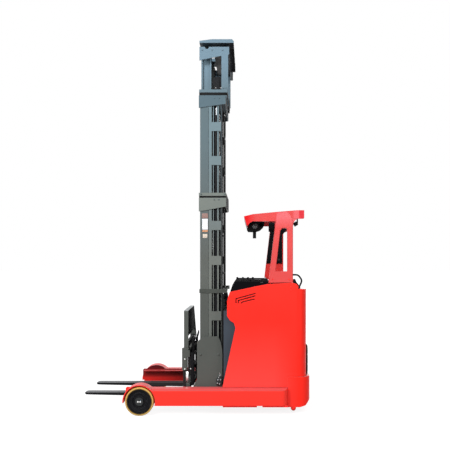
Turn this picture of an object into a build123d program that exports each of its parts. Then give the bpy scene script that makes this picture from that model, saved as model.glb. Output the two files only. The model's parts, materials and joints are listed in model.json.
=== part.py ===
"""Electric reach truck with a three-stage mast, in millimetres.

X runs along the truck with the forks towards -X, Y across it and Z up from the floor.
The side towards -Y is called left.
"""

import os
from math import cos, radians, sin

from build123d import *

os.makedirs("parts", exist_ok=True)

# Straddle legs and load wheels
LEG_OUT = 635
LEG_IN = 505
LEG_TOP = 275
LEG_BOTTOM = 105
LEG_BACK = 983
LEG_BEVEL_WIDE = 41
LEG_BEVEL_HIGH = 17
LEG_PLATE = 10
LEG_NOSE = -705
RAIL_LIP = 447
RAIL_FLANGE = 14
RAIL_BOTTOM = 118
RAIL_TOP = 262
LOAD_WHEEL_X = -544
LOAD_WHEEL_R = 147
LOAD_WHEEL_WIDE = 106
LOAD_WHEEL_OUT = 629
LOAD_TYRE_THICK = 21
LOAD_AXLE_R = 26
ARCH_INNER_R = 162
ARCH_OUTER_R = 172
RUNNING_FIT = 0.05

# Body
BODY_OUT = 545
BODY_WALL = 14
BODY_FRONT = 307
BODY_BACK = 1186
BUMPER_BACK = 1224
CORNER_R = 110
SKIRT_BOTTOM = 70
FLOOR_BOTTOM = 88
FLOOR_TOP = 105
BULKHEAD_X = 655
BATTERY_FRONT = 316
BATTERY_BACK = 645
BATTERY_SIDE = 494
BATTERY_BOTTOM = 285
BATTERY_TOP = 1066
PANEL_TOP = 1365
CELL_FRONT = 800
CELL_SIDE = 20
CELL_FLOOR = 250

# Drive wheel and caster
DRIVE_X = 950
DRIVE_Y = -192
DRIVE_R = 172
DRIVE_WIDE = 110
CASTER_X = 950
CASTER_Y = 350
CASTER_R = 75
CASTER_TRAIL = 45
CASTER_HALF = 62
MOTOR_R = 95
WELL_R = 215

# Overhead guard
GUARD_OUT = 540
GUARD_THICK = 52
ROOF_TOP = 2121
ROOF_BAR_TOP = 2085
ROOF_BAR_BOTTOM = 2050

# Mast
MAST_BACK = 305
MAST_BOTTOM = 115
OUTER_TOP = 3352
MIDDLE_TOP = 3870
INNER_TOP = 3912
MAST_TOP = 3951

# Reach carriage
REACH_OUT = 430
REACH_THICK = 18
REACH_FRONT = 33
REACH_BACK = 301
REACH_TOP = 790
ROLLER_FIT = 0.6

# Fork carriage and forks
CARRIAGE_OUT = 345
FORK_Y = 250
FORK_WIDE = 105
FORK_HEEL = -129
FORK_TIP = -1200
FORK_TOP = 169
FORK_THICK = 45
TILT_X = -28
TILT_Z = 640

SIDES = (("left", -1), ("right", 1))


def slab(outline, y_from, y_to, mode=Mode.ADD):
    """Extrude an outline of X-Z points between two heights along Y, y_from being the higher."""
    with BuildSketch(Plane.XZ.offset(-y_from)) as face:
        with BuildLine():
            Polyline(*outline, close=True)
        make_face()
    extrude(face.sketch, amount=y_from - y_to, mode=mode)


def block(x, y, z, mode=Mode.ADD):
    """A box between two values of each coordinate."""
    with Locations(((x[0] + x[1]) / 2, (y[0] + y[1]) / 2, (z[0] + z[1]) / 2)):
        Box(x[1] - x[0], y[1] - y[0], z[1] - z[0], mode=mode)


def rod_y(x, z, radius, y_from, y_to, mode=Mode.ADD):
    """A round bar along Y, y_from being the higher."""
    with BuildSketch(Plane.XZ.offset(-y_from)) as face:
        with Locations((x, z)):
            Circle(radius)
    extrude(face.sketch, amount=y_from - y_to, mode=mode)


def rod_z(x, y, radius, z_from, z_to, mode=Mode.ADD):
    """A round bar along Z, z_from being the lower."""
    with BuildSketch(Plane.XY.offset(z_from)) as face:
        with Locations((x, y)):
            Circle(radius)
    extrude(face.sketch, amount=z_to - z_from, mode=mode)


def sheave(x, z, radius, y_from, y_to):
    """A chain sheave with its groove, turned about an axis along Y."""
    rod_y(x, z, radius - 7, y_from, y_to)
    lip = (y_from - y_to) / 5
    rod_y(x, z, radius, y_from, y_from - lip)
    rod_y(x, z, radius, y_to + lip, y_to)


def save(name, builder):
    """Label a finished piece and write its STEP file."""
    builder.part.label = name
    export_step(builder.part, f"parts/{name}.step")


def save_pair(name, left):
    """Write a left piece and its mirror image on the right."""
    save(f"{name}_left", left)
    with BuildPart() as right:
        mirror(left.part, about=Plane.XZ)
    save(f"{name}_right", right)


# Straddle leg: box beam with a bevelled shoulder, wheel arch, inner plate and roller channel
LEG_SECTION = [
    (-LEG_OUT, LEG_BOTTOM),
    (-LEG_OUT, LEG_TOP - LEG_BEVEL_HIGH),
    (-LEG_OUT + LEG_BEVEL_WIDE, LEG_TOP),
    (-LEG_IN - LEG_PLATE, LEG_TOP),
    (-LEG_IN - LEG_PLATE, LEG_BOTTOM),
]
ARCH_LOW_Z = 136
LEG_CORNER_R = 70
INNER_PLATE = [
    (LEG_NOSE, 150),
    (LEG_NOSE, LEG_TOP - 12),
    (LEG_NOSE + 12, LEG_TOP),
    (LEG_BACK, LEG_TOP),
    (LEG_BACK, LEG_BOTTOM),
    (LEG_NOSE + 45, LEG_BOTTOM),
]
RAIL_FRONT = -690
RAIL_BACK = 640
with BuildPart() as leg_left:
    with BuildSketch(Plane.YZ.offset(LOAD_WHEEL_X)) as section:
        with BuildLine():
            Polyline(*LEG_SECTION, close=True)
        make_face()
    extrude(section.sketch, amount=LEG_BACK - LOAD_WHEEL_X)
    rear_corner = leg_left.edges().filter_by(Axis.Z).group_by(Axis.X)[-1].sort_by(Axis.Y)[0]
    fillet(rear_corner, LEG_CORNER_R)
    rod_y(LOAD_WHEEL_X, LOAD_WHEEL_R, ARCH_OUTER_R, -LEG_IN - LEG_PLATE, -LEG_OUT)
    block(
        (LOAD_WHEEL_X - ARCH_OUTER_R, LOAD_WHEEL_X + ARCH_INNER_R - 30),
        (-LEG_OUT, -LEG_IN - LEG_PLATE),
        (-ARCH_OUTER_R, ARCH_LOW_Z),
        mode=Mode.SUBTRACT,
    )
    rod_y(
        LOAD_WHEEL_X, LOAD_WHEEL_R, ARCH_INNER_R, -LEG_IN - LEG_PLATE, -LEG_OUT, mode=Mode.SUBTRACT
    )
    block(
        (LOAD_WHEEL_X, LOAD_WHEEL_X + ARCH_OUTER_R),
        (-LEG_OUT, -LEG_IN - LEG_PLATE),
        (-ARCH_OUTER_R, LEG_BOTTOM),
        mode=Mode.SUBTRACT,
    )
    slab(INNER_PLATE, -LEG_IN, -LEG_IN - LEG_PLATE)
    with BuildSketch(Plane.XZ.offset(LEG_IN)) as arch_cheek:
        with Locations((LOAD_WHEEL_X, LOAD_WHEEL_R)):
            Circle(ARCH_OUTER_R)
        with Locations((LOAD_WHEEL_X, LEG_TOP - 15)):
            Rectangle(
                2 * ARCH_OUTER_R, ARCH_OUTER_R, align=(Align.CENTER, Align.MIN), mode=Mode.INTERSECT
            )
    extrude(arch_cheek.sketch, amount=LEG_PLATE)
    block((RAIL_FRONT, RAIL_BACK), (-LEG_IN, -RAIL_LIP), (RAIL_TOP - RAIL_FLANGE, RAIL_TOP))
    block((RAIL_FRONT, RAIL_BACK), (-LEG_IN, -RAIL_LIP), (RAIL_BOTTOM, RAIL_BOTTOM + RAIL_FLANGE))
save_pair("leg", leg_left)

# Load wheel axle with its retaining cap, fixed on the leg's inner plate
CAP_R = 41
CAP_THICK = 6
CAP_BOLT_PITCH = 24
WHEEL_CAP_Y = LOAD_WHEEL_OUT + 1
with BuildPart() as load_axle_left:
    rod_y(LOAD_WHEEL_X, LOAD_WHEEL_R, 38, -LEG_IN - LEG_PLATE, -LEG_IN - LEG_PLATE - 6)
    rod_y(
        LOAD_WHEEL_X,
        LOAD_WHEEL_R,
        LOAD_AXLE_R,
        -LEG_IN - LEG_PLATE - 6,
        -WHEEL_CAP_Y + CAP_THICK,
    )
    rod_y(LOAD_WHEEL_X, LOAD_WHEEL_R, CAP_R, -WHEEL_CAP_Y + CAP_THICK, -WHEEL_CAP_Y)
    for offset in (-CAP_BOLT_PITCH / 2, CAP_BOLT_PITCH / 2):
        rod_y(LOAD_WHEEL_X + offset, LOAD_WHEEL_R, 7, -WHEEL_CAP_Y, -WHEEL_CAP_Y - 4)
save_pair("load_axle", load_axle_left)

# Load wheel hub, dished and ringed, and its press-moulded tread, both revolved about the axle
HUB_R = LOAD_WHEEL_R - LOAD_TYRE_THICK
HUB_FACE = LOAD_WHEEL_OUT - 4
HUB_BACK = LOAD_WHEEL_OUT - LOAD_WHEEL_WIDE + 4
HUB_PROFILE = [
    (LOAD_AXLE_R + RUNNING_FIT, HUB_BACK),
    (HUB_R, HUB_BACK),
    (HUB_R, HUB_FACE),
    (HUB_R - 9, HUB_FACE),
    (HUB_R - 16, HUB_FACE - 16),
    (HUB_R - 36, HUB_FACE - 20),
    (HUB_R - 40, HUB_FACE - 12),
    (HUB_R - 52, HUB_FACE - 14),
    (HUB_R - 60, HUB_FACE - 24),
    (CAP_R + 6, HUB_FACE - 24),
    (CAP_R + 2, HUB_FACE - 10),
    (LOAD_AXLE_R + RUNNING_FIT, HUB_FACE - 10),
]
TREAD_CHAMFER = 7
with BuildPart() as load_hub_left:
    with BuildSketch(Plane.XY) as profile:
        with BuildLine():
            Polyline(*[(LOAD_WHEEL_X + r, -y) for r, y in HUB_PROFILE], close=True)
        make_face()
    revolve(profile.sketch, axis=Axis((LOAD_WHEEL_X, 0, 0), (0, 1, 0)))
with BuildPart() as load_tyre_left:
    with BuildSketch(Plane.XY) as profile:
        with BuildLine():
            Polyline(
                (LOAD_WHEEL_X + HUB_R, -HUB_BACK + 4),
                (LOAD_WHEEL_X + LOAD_WHEEL_R - TREAD_CHAMFER, -HUB_BACK + 4),
                (LOAD_WHEEL_X + LOAD_WHEEL_R, -HUB_BACK + 4 - TREAD_CHAMFER),
                (LOAD_WHEEL_X + LOAD_WHEEL_R, -LOAD_WHEEL_OUT + TREAD_CHAMFER),
                (LOAD_WHEEL_X + LOAD_WHEEL_R - TREAD_CHAMFER, -LOAD_WHEEL_OUT),
                (LOAD_WHEEL_X + HUB_R, -LOAD_WHEEL_OUT),
                close=True,
            )
        make_face()
    revolve(profile.sketch, axis=Axis((LOAD_WHEEL_X, 0, 0), (0, 1, 0)))
for name, wheel in (("load_hub", load_hub_left), ("load_tyre", load_tyre_left)):
    with BuildPart() as placed:
        add(Pos(0, 0, LOAD_WHEEL_R) * wheel.part)
    save_pair(name, placed)

# Chassis frame: floor plates under the legs and the cell, wells for the steered wheels, bulkhead,
# battery shelf, drive mounting plate and caster mounting
TOP_PLATE_Z = 600
FLOOR_PLATES = (
    # front, back, half width
    (313, 665, 620),
    (665, 722, 440),
    (722, LEG_BACK, 620),
    (LEG_BACK, 1060, 513),
)
CASTER_SWING = (CASTER_TRAIL + CASTER_R) ** 2 + CASTER_HALF**2
with BuildPart() as chassis_frame:
    for front, back, half in FLOOR_PLATES:
        block((front, back), (-half, half), (FLOOR_BOTTOM, FLOOR_TOP))
    rod_z(DRIVE_X, DRIVE_Y, WELL_R, FLOOR_BOTTOM, FLOOR_TOP, mode=Mode.SUBTRACT)
    caster_well = CASTER_SWING**0.5 + 10
    rod_z(CASTER_X, CASTER_Y, caster_well, FLOOR_BOTTOM, FLOOR_TOP, mode=Mode.SUBTRACT)
    block((BULKHEAD_X, BULKHEAD_X + 10), (-LEG_IN, LEG_IN), (FLOOR_TOP, 1240))
    block((BATTERY_FRONT, BULKHEAD_X), (-LEG_IN, LEG_IN), (LEG_TOP, BATTERY_BOTTOM))
    block((BULKHEAD_X + 10, 1100), (-LEG_IN, CELL_SIDE - 20), (TOP_PLATE_Z, TOP_PLATE_Z + 16))
    rod_z(DRIVE_X, DRIVE_Y, MOTOR_R + 8, TOP_PLATE_Z, TOP_PLATE_Z + 16, mode=Mode.SUBTRACT)
    block((BULKHEAD_X + 10, 1060), (CELL_SIDE - 20, CELL_SIDE - 8), (FLOOR_TOP, TOP_PLATE_Z + 16))
    block((CASTER_X - 80, CASTER_X + 80), (CELL_SIDE - 10, LEG_IN), (239, CELL_FLOOR))
save("chassis_frame", chassis_frame)

# Battery: one block, closed in on most sides, with its two lifting ears
with BuildPart() as battery:
    block(
        (BATTERY_FRONT, BATTERY_BACK), (-BATTERY_SIDE, BATTERY_SIDE), (BATTERY_BOTTOM, BATTERY_TOP)
    )
    fillet(battery.edges().filter_by(Axis.Z), 8)
save("battery", battery)

# Side panel of the body, its plan curving round the rear corner
PANEL_OUTLINE = [
    (BODY_FRONT, LEG_TOP + 2),
    (442, 895),
    (429, 942),
    (383, 976),
    (355, 1019),
    (355, 1165),
    (363, 1207),
    (384, 1269),
    (646, 1326),
    (781, 1352),
    (1041, PANEL_TOP),
    (1080, 1352),
    (1117, 1302),
    (BODY_BACK, 1295),
    (BODY_BACK, 386),
    (LEG_BACK + 3, 386),
    (LEG_BACK + 3, LEG_TOP + 2),
]
VENT_GROOVES = (
    [(449, 1150), (449, 1199), (652, 1254)],
    [(473, 1150), (473, 1180), (652, 1229)],
    [(498, 1150), (518, 1165), (642, 1195)],
)
GROOVE_WIDE = 11
GROOVE_DEEP = 9
REAR_WALL_TOP = 1268
with BuildPart() as side_panel_left:
    with BuildSketch(Plane.XY.offset(LEG_TOP)) as plan:
        with BuildLine():
            Line((BODY_FRONT, -BODY_OUT), (BODY_BACK - CORNER_R, -BODY_OUT))
            ThreePointArc(
                (BODY_BACK - CORNER_R, -BODY_OUT),
                (
                    BODY_BACK - CORNER_R + CORNER_R * sin(radians(45)),
                    -BODY_OUT + CORNER_R - CORNER_R * cos(radians(45)),
                ),
                (BODY_BACK, -BODY_OUT + CORNER_R),
            )
            Line((BODY_BACK, -BODY_OUT + CORNER_R), (BODY_BACK, 0))
            Line((BODY_BACK, 0), (BODY_BACK - BODY_WALL, 0))
            Line((BODY_BACK - BODY_WALL, 0), (BODY_BACK - BODY_WALL, -BODY_OUT + CORNER_R))
            ThreePointArc(
                (BODY_BACK - BODY_WALL, -BODY_OUT + CORNER_R),
                (
                    BODY_BACK - CORNER_R + (CORNER_R - BODY_WALL) * sin(radians(45)),
                    -BODY_OUT + CORNER_R - (CORNER_R - BODY_WALL) * cos(radians(45)),
                ),
                (BODY_BACK - CORNER_R, -BODY_OUT + BODY_WALL),
            )
            Line((BODY_BACK - CORNER_R, -BODY_OUT + BODY_WALL), (BODY_FRONT, -BODY_OUT + BODY_WALL))
            Line((BODY_FRONT, -BODY_OUT + BODY_WALL), (BODY_FRONT, -BODY_OUT))
        make_face()
    extrude(plan.sketch, amount=PANEL_TOP)
    slab(PANEL_OUTLINE, 1, -BODY_OUT - 1, mode=Mode.INTERSECT)
    block((1120, BODY_BACK + 1), (-BODY_OUT + CORNER_R, 1), (REAR_WALL_TOP, PANEL_TOP), Mode.SUBTRACT)
    for groove in VENT_GROOVES:
        with BuildSketch(Plane.XZ.offset(BODY_OUT - GROOVE_DEEP)) as channel:
            with BuildLine():
                Polyline(*groove)
            trace(line_width=GROOVE_WIDE)
        extrude(channel.sketch, amount=GROOVE_DEEP + 1, mode=Mode.SUBTRACT)
    fillet(side_panel_left.edges().filter_by(Axis.X).sort_by(Axis.Y)[0], 3)
save("side_panel_left", side_panel_left)
with BuildPart() as side_panel_right:
    mirror(side_panel_left.part, about=Plane.XZ)
    block((BODY_BACK - CORNER_R, BODY_BACK + 1), (-1, BODY_OUT - CORNER_R), (0, 2000), Mode.SUBTRACT)
save("side_panel_right", side_panel_right)

# Rear bumper: the thick lower skirt behind the legs
BUMPER_OUTLINE = [
    (LEG_BACK + 3, SKIRT_BOTTOM),
    (1112, SKIRT_BOTTOM),
    (1176, 84),
    (BUMPER_BACK, 138),
    (BUMPER_BACK, 372),
    (BUMPER_BACK - 10, 384),
    (LEG_BACK + 3, 384),
]
PAD_X = 1047
PAD_Y = 517
PAD_R = 27
PAD_BOTTOM = 48
with BuildPart() as rear_bumper:
    slab(BUMPER_OUTLINE, BODY_OUT, -BODY_OUT)
    corners = rear_bumper.edges().filter_by(Axis.Z).group_by(Axis.X)[-1]
    fillet(corners, CORNER_R + BUMPER_BACK - BODY_BACK - 20)
    block((LEG_BACK, 1166), (-BODY_OUT + 30, BODY_OUT - 30), (0, 500), Mode.SUBTRACT)
    block((1100, 1300), (CELL_SIDE + 40, BODY_OUT - CORNER_R), (CELL_FLOOR + 20, 500), Mode.SUBTRACT)
    for side in (-1, 1):
        rod_z(PAD_X, side * PAD_Y, PAD_R, PAD_BOTTOM, SKIRT_BOTTOM + 1)
        with Locations((PAD_X, side * PAD_Y, PAD_BOTTOM + 6)):
            Sphere(PAD_R - 1)
save("rear_bumper", rear_bumper)

# Black pad on the rear face
with BuildPart() as rear_pad:
    block((BODY_BACK, 1212), (-BODY_OUT + CORNER_R, -20), (388, 706))
    fillet(rear_pad.edges().group_by(Axis.X)[-1], 12)
save("rear_pad", rear_pad)

# Operator platform, drive cover and pads
with BuildPart() as operator_platform:
    block((CELL_FRONT - 40, 1150), (CELL_SIDE, 503), (CELL_FLOOR, CELL_FLOOR + 12))
save("operator_platform", operator_platform)

COVER_WALL = 12
COVER_TOP = 1080
COVER_LINING = [(1044, 1050), (1044, 1402), (1066, 1404), (1078, 1374), (1120, 1320), (1120, 1050)]
STEER_X = 960
STEER_Y = -250
with BuildPart() as drive_cover:
    block((CELL_FRONT, 1155), (-529, CELL_SIDE - 20), (620, COVER_TOP))
    fillet(drive_cover.edges().filter_by(Axis.Z).group_by(Axis.X)[-1].sort_by(Axis.Y)[0], 100)
    fillet(drive_cover.edges().group_by(Axis.Z)[-1], 24)
    block(
        (CELL_FRONT + COVER_WALL, 1050),
        (-529 + COVER_WALL, CELL_SIDE - 20 - COVER_WALL),
        (620, COVER_TOP - 2 * COVER_WALL),
        mode=Mode.SUBTRACT,
    )
    slab(COVER_LINING, -500, -514)
    rod_z(STEER_X, STEER_Y, 30, COVER_TOP - COVER_WALL, COVER_TOP + 50)
    rod_z(STEER_X, STEER_Y, 10 - RUNNING_FIT, COVER_TOP + 50, COVER_TOP + 72)
save("drive_cover", drive_cover)

with BuildPart() as cell_front_panel:
    block((784, 796), (CELL_SIDE, 528), (LEG_TOP + 3, 1358))
    block((784, 796), (-486, 486), (1340, 1379))
save("cell_front_panel", cell_front_panel)

FRAME_TRIM = [
    (794, 1553),
    (846, 1990),
    (1038, 1990),
    (1038, 1946),
    (1008, 1934),
    (985, 1905),
    (985, 1553),
]
with BuildPart() as back_pad:
    block((850, 1060), (490, 529), (900, 1330))
    fillet(back_pad.edges().group_by(Axis.Y)[0], 16)
    slab(FRAME_TRIM, 488, 474)
save("back_pad", back_pad)

# Console and hood over the battery bay
CONSOLE_OUTLINE = [
    (388, 1276),
    (412, 1345),
    (430, 1370),
    (455, 1380),
    (772, 1378),
    (782, 1368),
    (782, 1274),
]
DISH_X = 660
DISH_Y = -350
with BuildPart() as console:
    slab(CONSOLE_OUTLINE, BODY_OUT - 16, -BODY_OUT + 16)
    with BuildSketch(Plane.XY.offset(1360)) as dish:
        with Locations((DISH_X, DISH_Y)):
            RectangleRounded(150, 220, 30)
    extrude(dish.sketch, amount=40, mode=Mode.SUBTRACT)
    with BuildSketch(Plane.XY.offset(1372)) as screen:
        with Locations((DISH_X, 40)):
            RectangleRounded(130, 190, 14)
    extrude(screen.sketch, amount=40, mode=Mode.SUBTRACT)
save("console", console)

HOOD_BACK = BULKHEAD_X - 5
with BuildPart() as hood_front:
    block((388, 398), (-BODY_OUT + 16, BODY_OUT - 16), (BATTERY_TOP + 8, 1272))
    block((398, HOOD_BACK), (-BODY_OUT + 16, BODY_OUT - 16), (1258, 1272))
save("hood_front", hood_front)

# Four lever knobs on the console, each in a rubber boot
LEVER_XS = (461, 520, 573, 624)
LEVER_Y = -482
with BuildPart() as control_levers:
    for x in LEVER_XS:
        with Locations((x, LEVER_Y, 1390)):
            Cone(16, 9, 24)
        with Locations((x, LEVER_Y, 1412)):
            Sphere(12)
    add(console.part, mode=Mode.SUBTRACT)
save("control_levers", control_levers)

# Steering wheel on the drive cover's post
STEER_Z = COVER_TOP + 80
with BuildPart() as steering_wheel:
    with Locations((STEER_X, STEER_Y, STEER_Z)):
        Torus(110, 12)
    rod_z(STEER_X, STEER_Y, 24, COVER_TOP + 56, STEER_Z + 6)
    with Locations((STEER_X, STEER_Y, STEER_Z - 4)):
        with PolarLocations(0, 3):
            Box(108, 16, 8, align=(Align.MIN, Align.CENTER, Align.CENTER))
    rod_z(STEER_X, STEER_Y, 10, COVER_TOP + 50, COVER_TOP + 73, mode=Mode.SUBTRACT)
save("steering_wheel", steering_wheel)

# Overhead guard: an A-shaped side frame with a plate lapping the roof, a plain frame on the other
# side, and the roof with its bars and front visor
GUARD_LAP = 6
FRAME_TOP = 2030
WINDOW_OUTLINE = [(861, 1483), (909, 1904), (930, 1933), (970, 1933), (983, 1915), (983, 1483)]
GUARD_EDGE = 5
with BuildPart() as guard_frame_left:
    with BuildSketch(Plane.XZ.offset(GUARD_OUT - GUARD_THICK)) as frame:
        with BuildLine():
            Polyline((1090, FRAME_TOP), (865, FRAME_TOP), (786, 1362), (1042, 1366), (1042, 1950))
            ThreePointArc((1042, 1950), (1057, 2004), (1090, FRAME_TOP))
        make_face()
    extrude(frame.sketch, amount=GUARD_THICK - GUARD_LAP)
    with BuildSketch(Plane.XZ.offset(GUARD_OUT - GUARD_LAP)) as lap:
        with BuildLine():
            Polyline((1042, 1950), (1042, 1366), (786, 1362), (871, 2083), (884, 2098), (982, 2106))
            ThreePointArc((982, 2106), (1027, 2050), (1042, 1950))
        make_face()
    extrude(lap.sketch, amount=GUARD_LAP)
    slab(WINDOW_OUTLINE, -GUARD_OUT + GUARD_THICK, -GUARD_OUT, mode=Mode.SUBTRACT)
    chamfer(guard_frame_left.faces().sort_by(Axis.Y)[0].edges(), GUARD_EDGE)
save("guard_frame_left", guard_frame_left)
FAR_FRAME_OUTLINE = [
    (786, 1362),
    (786, 1381),
    (770, 1383),
    (847, FRAME_TOP),
    (1045, FRAME_TOP),
    (1045, 1942),
    (1012, 1930),
    (1000, 1912),
    (1000, 1366),
]
with BuildPart() as guard_frame_right:
    slab(FAR_FRAME_OUTLINE, GUARD_OUT, GUARD_OUT - GUARD_THICK)
    fillet(guard_frame_right.faces().sort_by(Axis.Y)[-1].edges(), GUARD_EDGE)
save("guard_frame_right", guard_frame_right)

ROOF_OUTLINE = [
    (531, 2058),
    (625, 2080),
    (855, 2102),
    (1084, ROOF_TOP),
    (1159, ROOF_TOP),
    (1159, 2040),
    (1151, 2032),
    (552, 2032),
]
ROOF_OUT = GUARD_OUT - GUARD_LAP
VISOR_OUTLINE = [(531, 2058), (566, 2060), (570, 1961), (558, 1960), (552, 1989)]
CHEEK_OUTLINE = [(545, 2036), (558, 1960), (568, 1961), (595, 1992), (625, 2006), (640, 2036)]
BEAM_BOTTOM = 2005
NEAR_BEAM = [(606, 2034), (622, BEAM_BOTTOM), (861, BEAM_BOTTOM), (864, 2034)]
FAR_BEAM = [(606, 2034), (622, BEAM_BOTTOM), (842, BEAM_BOTTOM), (845, 2034)]
CHEEK_THICK = 10
ROOF_BARS = 6
REAR_PLATE_BOTTOM = 2098
with BuildPart() as guard_roof:
    slab(ROOF_OUTLINE, ROOF_OUT, -ROOF_OUT)
    inner = GUARD_OUT - GUARD_THICK
    block((620, 1090), (-inner, inner), (1900, 2200), Mode.SUBTRACT)
    slab(NEAR_BEAM, -inner, -ROOF_OUT)
    slab(FAR_BEAM, ROOF_OUT, inner)
    slab(VISOR_OUTLINE, ROOF_OUT, -ROOF_OUT)
    for y in (ROOF_OUT, -ROOF_OUT + CHEEK_THICK):
        slab(CHEEK_OUTLINE, y, y - CHEEK_THICK)
    for k in range(ROOF_BARS):
        y = -inner + (k + 1) * 2 * inner / (ROOF_BARS + 1)
        block((618, 1092), (y - 8, y + 8), (ROOF_BAR_BOTTOM, ROOF_BAR_TOP))
    block((1090, 1160), (-ROOF_OUT + 12, ROOF_OUT + 1), (2000, REAR_PLATE_BOTTOM), Mode.SUBTRACT)
    with Locations((1125, 0, ROOF_TOP)):
        with GridLocations(40, 120, 2, 2):
            Hole(4.5, depth=120)
save("guard_roof", guard_roof)

# Pod under the roof with its lamp, fan and stub, a second lamp and a rear lamp on its bracket
LAMP_Y = -180
POD_HALF = 58
POD_OUTLINE = [
    (584, 2031),
    (578, 1992),
    (576, 1954),
    (561, 1948),
    (562, 1924),
    (576, 1908),
    (655, 1906),
    (702, 1922),
    (738, 1955),
    (752, 1992),
    (752, 2031),
]
POD_EDGE = 9
WORK_LAMP = (648, 1970)
POD_FAN = (714, 1984)
with BuildPart() as roof_lamps:
    slab(POD_OUTLINE, LAMP_Y + POD_HALF, LAMP_Y - POD_HALF)
    chamfer(roof_lamps.faces().sort_by(Axis.Y)[0].edges(), POD_EDGE)
    near = LAMP_Y - POD_HALF
    rod_y(*WORK_LAMP, 37, near, near - 16)
    rod_y(*WORK_LAMP, 31, near - 10, near - 16, mode=Mode.SUBTRACT)
    with BuildSketch(Plane.XZ.offset(-near)) as fan:
        with Locations(POD_FAN):
            Circle(25)
            Circle(20, mode=Mode.SUBTRACT)
            Circle(8)
            with PolarLocations(0, 5):
                Rectangle(22, 6, align=(Align.MIN, Align.CENTER))
    extrude(fan.sketch, amount=10)
    block((640, 700), (LAMP_Y - 12, LAMP_Y + 12), (2030, 2049))
    block((626, 662), (LAMP_Y - 15, LAMP_Y + 15), (1838, 1925))
    with Locations(Location((832, LAMP_Y, 1962), (0, 90, 0))):
        Cylinder(52, 64)
        Cylinder(42, 64, mode=Mode.SUBTRACT)
        Cylinder(43, 40)
    block((822, 838), (LAMP_Y - 10, LAMP_Y + 10), (2005, 2049))
    block((1092, 1104), (-420, -380), (1990, REAR_PLATE_BOTTOM))
    with Locations(Location((1078, -400, 1984), (0, 60, 0))):
        Cylinder(22, 40)
save("roof_lamps", roof_lamps)

# Grab handle behind the guard's rear leg
HANDLE_PATH = [(1034, 1448), (1094, 1448), (1138, 1390), (1098, 1302)]
HANDLE_Y = -538
with BuildPart() as grab_handle:
    with BuildLine(Plane.XZ.offset(-HANDLE_Y)) as path:
        FilletPolyline(*HANDLE_PATH, radius=46)
    with BuildSketch(Plane(path.line @ 0, z_dir=path.line % 0)) as section:
        Circle(9)
    sweep(section.sketch, path=path.line)
    add(side_panel_left.part, mode=Mode.SUBTRACT)
    add(guard_frame_left.part, mode=Mode.SUBTRACT)
    block((900, 1042), (-600, -400), (1200, 1600), mode=Mode.SUBTRACT)
save("grab_handle", grab_handle)

# Steered drive unit: motor, gear housing and drive wheel
FORK_PLATE = 24
with BuildPart() as drive_housing:
    rod_z(DRIVE_X, DRIVE_Y, MOTOR_R, 420, 616 + 180)
    rod_z(DRIVE_X, DRIVE_Y, 135, 380, 425)
    block(
        (DRIVE_X - 75, DRIVE_X + 75),
        (DRIVE_Y + DRIVE_WIDE / 2 + 6, DRIVE_Y + DRIVE_WIDE / 2 + 6 + FORK_PLATE),
        (DRIVE_R - 45, 382),
    )
    rod_y(
        DRIVE_X, DRIVE_R, 24.95, DRIVE_Y + DRIVE_WIDE / 2 + 8, DRIVE_Y - DRIVE_WIDE / 2 + 30
    )
save("drive_housing", drive_housing)
with BuildPart() as drive_wheel:
    rod_y(DRIVE_X, DRIVE_R, DRIVE_R, DRIVE_Y + DRIVE_WIDE / 2, DRIVE_Y - DRIVE_WIDE / 2)
    rod_y(DRIVE_X, DRIVE_R, 95, DRIVE_Y - DRIVE_WIDE / 2 + 25, DRIVE_Y - DRIVE_WIDE / 2, Mode.SUBTRACT)
    rod_y(DRIVE_X, DRIVE_R, 25, DRIVE_Y + DRIVE_WIDE / 2, DRIVE_Y - DRIVE_WIDE / 2, Mode.SUBTRACT)
save("drive_wheel", drive_wheel)

# Twin caster
CASTER_WHEEL_X = CASTER_X + CASTER_TRAIL
with BuildPart() as caster_fork:
    rod_z(CASTER_X, CASTER_Y, 55, 165, 238)
    block((CASTER_X - 40, CASTER_WHEEL_X + 14), (CASTER_Y - 12, CASTER_Y + 12), (60, 170))
    rod_y(CASTER_WHEEL_X, CASTER_R, 15 - RUNNING_FIT, CASTER_Y + CASTER_HALF, CASTER_Y - CASTER_HALF)
save("caster_fork", caster_fork)
with BuildPart() as caster_wheels:
    for y in (CASTER_Y - CASTER_HALF, CASTER_Y + 17):
        rod_y(CASTER_WHEEL_X, CASTER_R, CASTER_R, y + 45, y)
    rod_y(CASTER_WHEEL_X, CASTER_R, 15, CASTER_Y + 70, CASTER_Y - 70, Mode.SUBTRACT)
save("caster_wheels", caster_wheels)

# Mast stages, each a pair of rolled rails: front and back edge in X, outer and inner edge in Y,
# where the web stands in Y, flange thickness, bottom and top
RAIL_EDGE = 8
STAGES = {
    "outer": dict(x=(62, 190), y=(350, 400), web=(386, 400), flange=18, z=(115, OUTER_TOP)),
    "middle": dict(x=(70, 182), y=(292, 344), web=(311, 323), flange=17, z=(125, MIDDLE_TOP)),
    "inner": dict(x=(76, 176), y=(234, 284), web=(271, 284), flange=16, z=(135, INNER_TOP)),
}


def rail(stage, side):
    """One rolled rail of a stage, on one side of the mast, its outer corners rounded."""
    x, y, web, flange, z = (stage[key] for key in ("x", "y", "web", "flange", "z"))
    with BuildSketch(Plane.XY.offset(z[0])) as section:
        for flange_x in (x[0] + flange / 2, x[1] - flange / 2):
            with Locations((flange_x, side * (y[0] + y[1]) / 2)):
                Rectangle(flange, y[1] - y[0])
        with Locations(((x[0] + x[1]) / 2, side * (web[0] + web[1]) / 2)):
            Rectangle(x[1] - x[0], web[1] - web[0])
        corners = section.vertices().filter_by(lambda v: abs(v.Y) > y[1] - 1 and v.X in x)
        fillet(corners, RAIL_EDGE)
    extrude(section.sketch, amount=z[1] - z[0])


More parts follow.
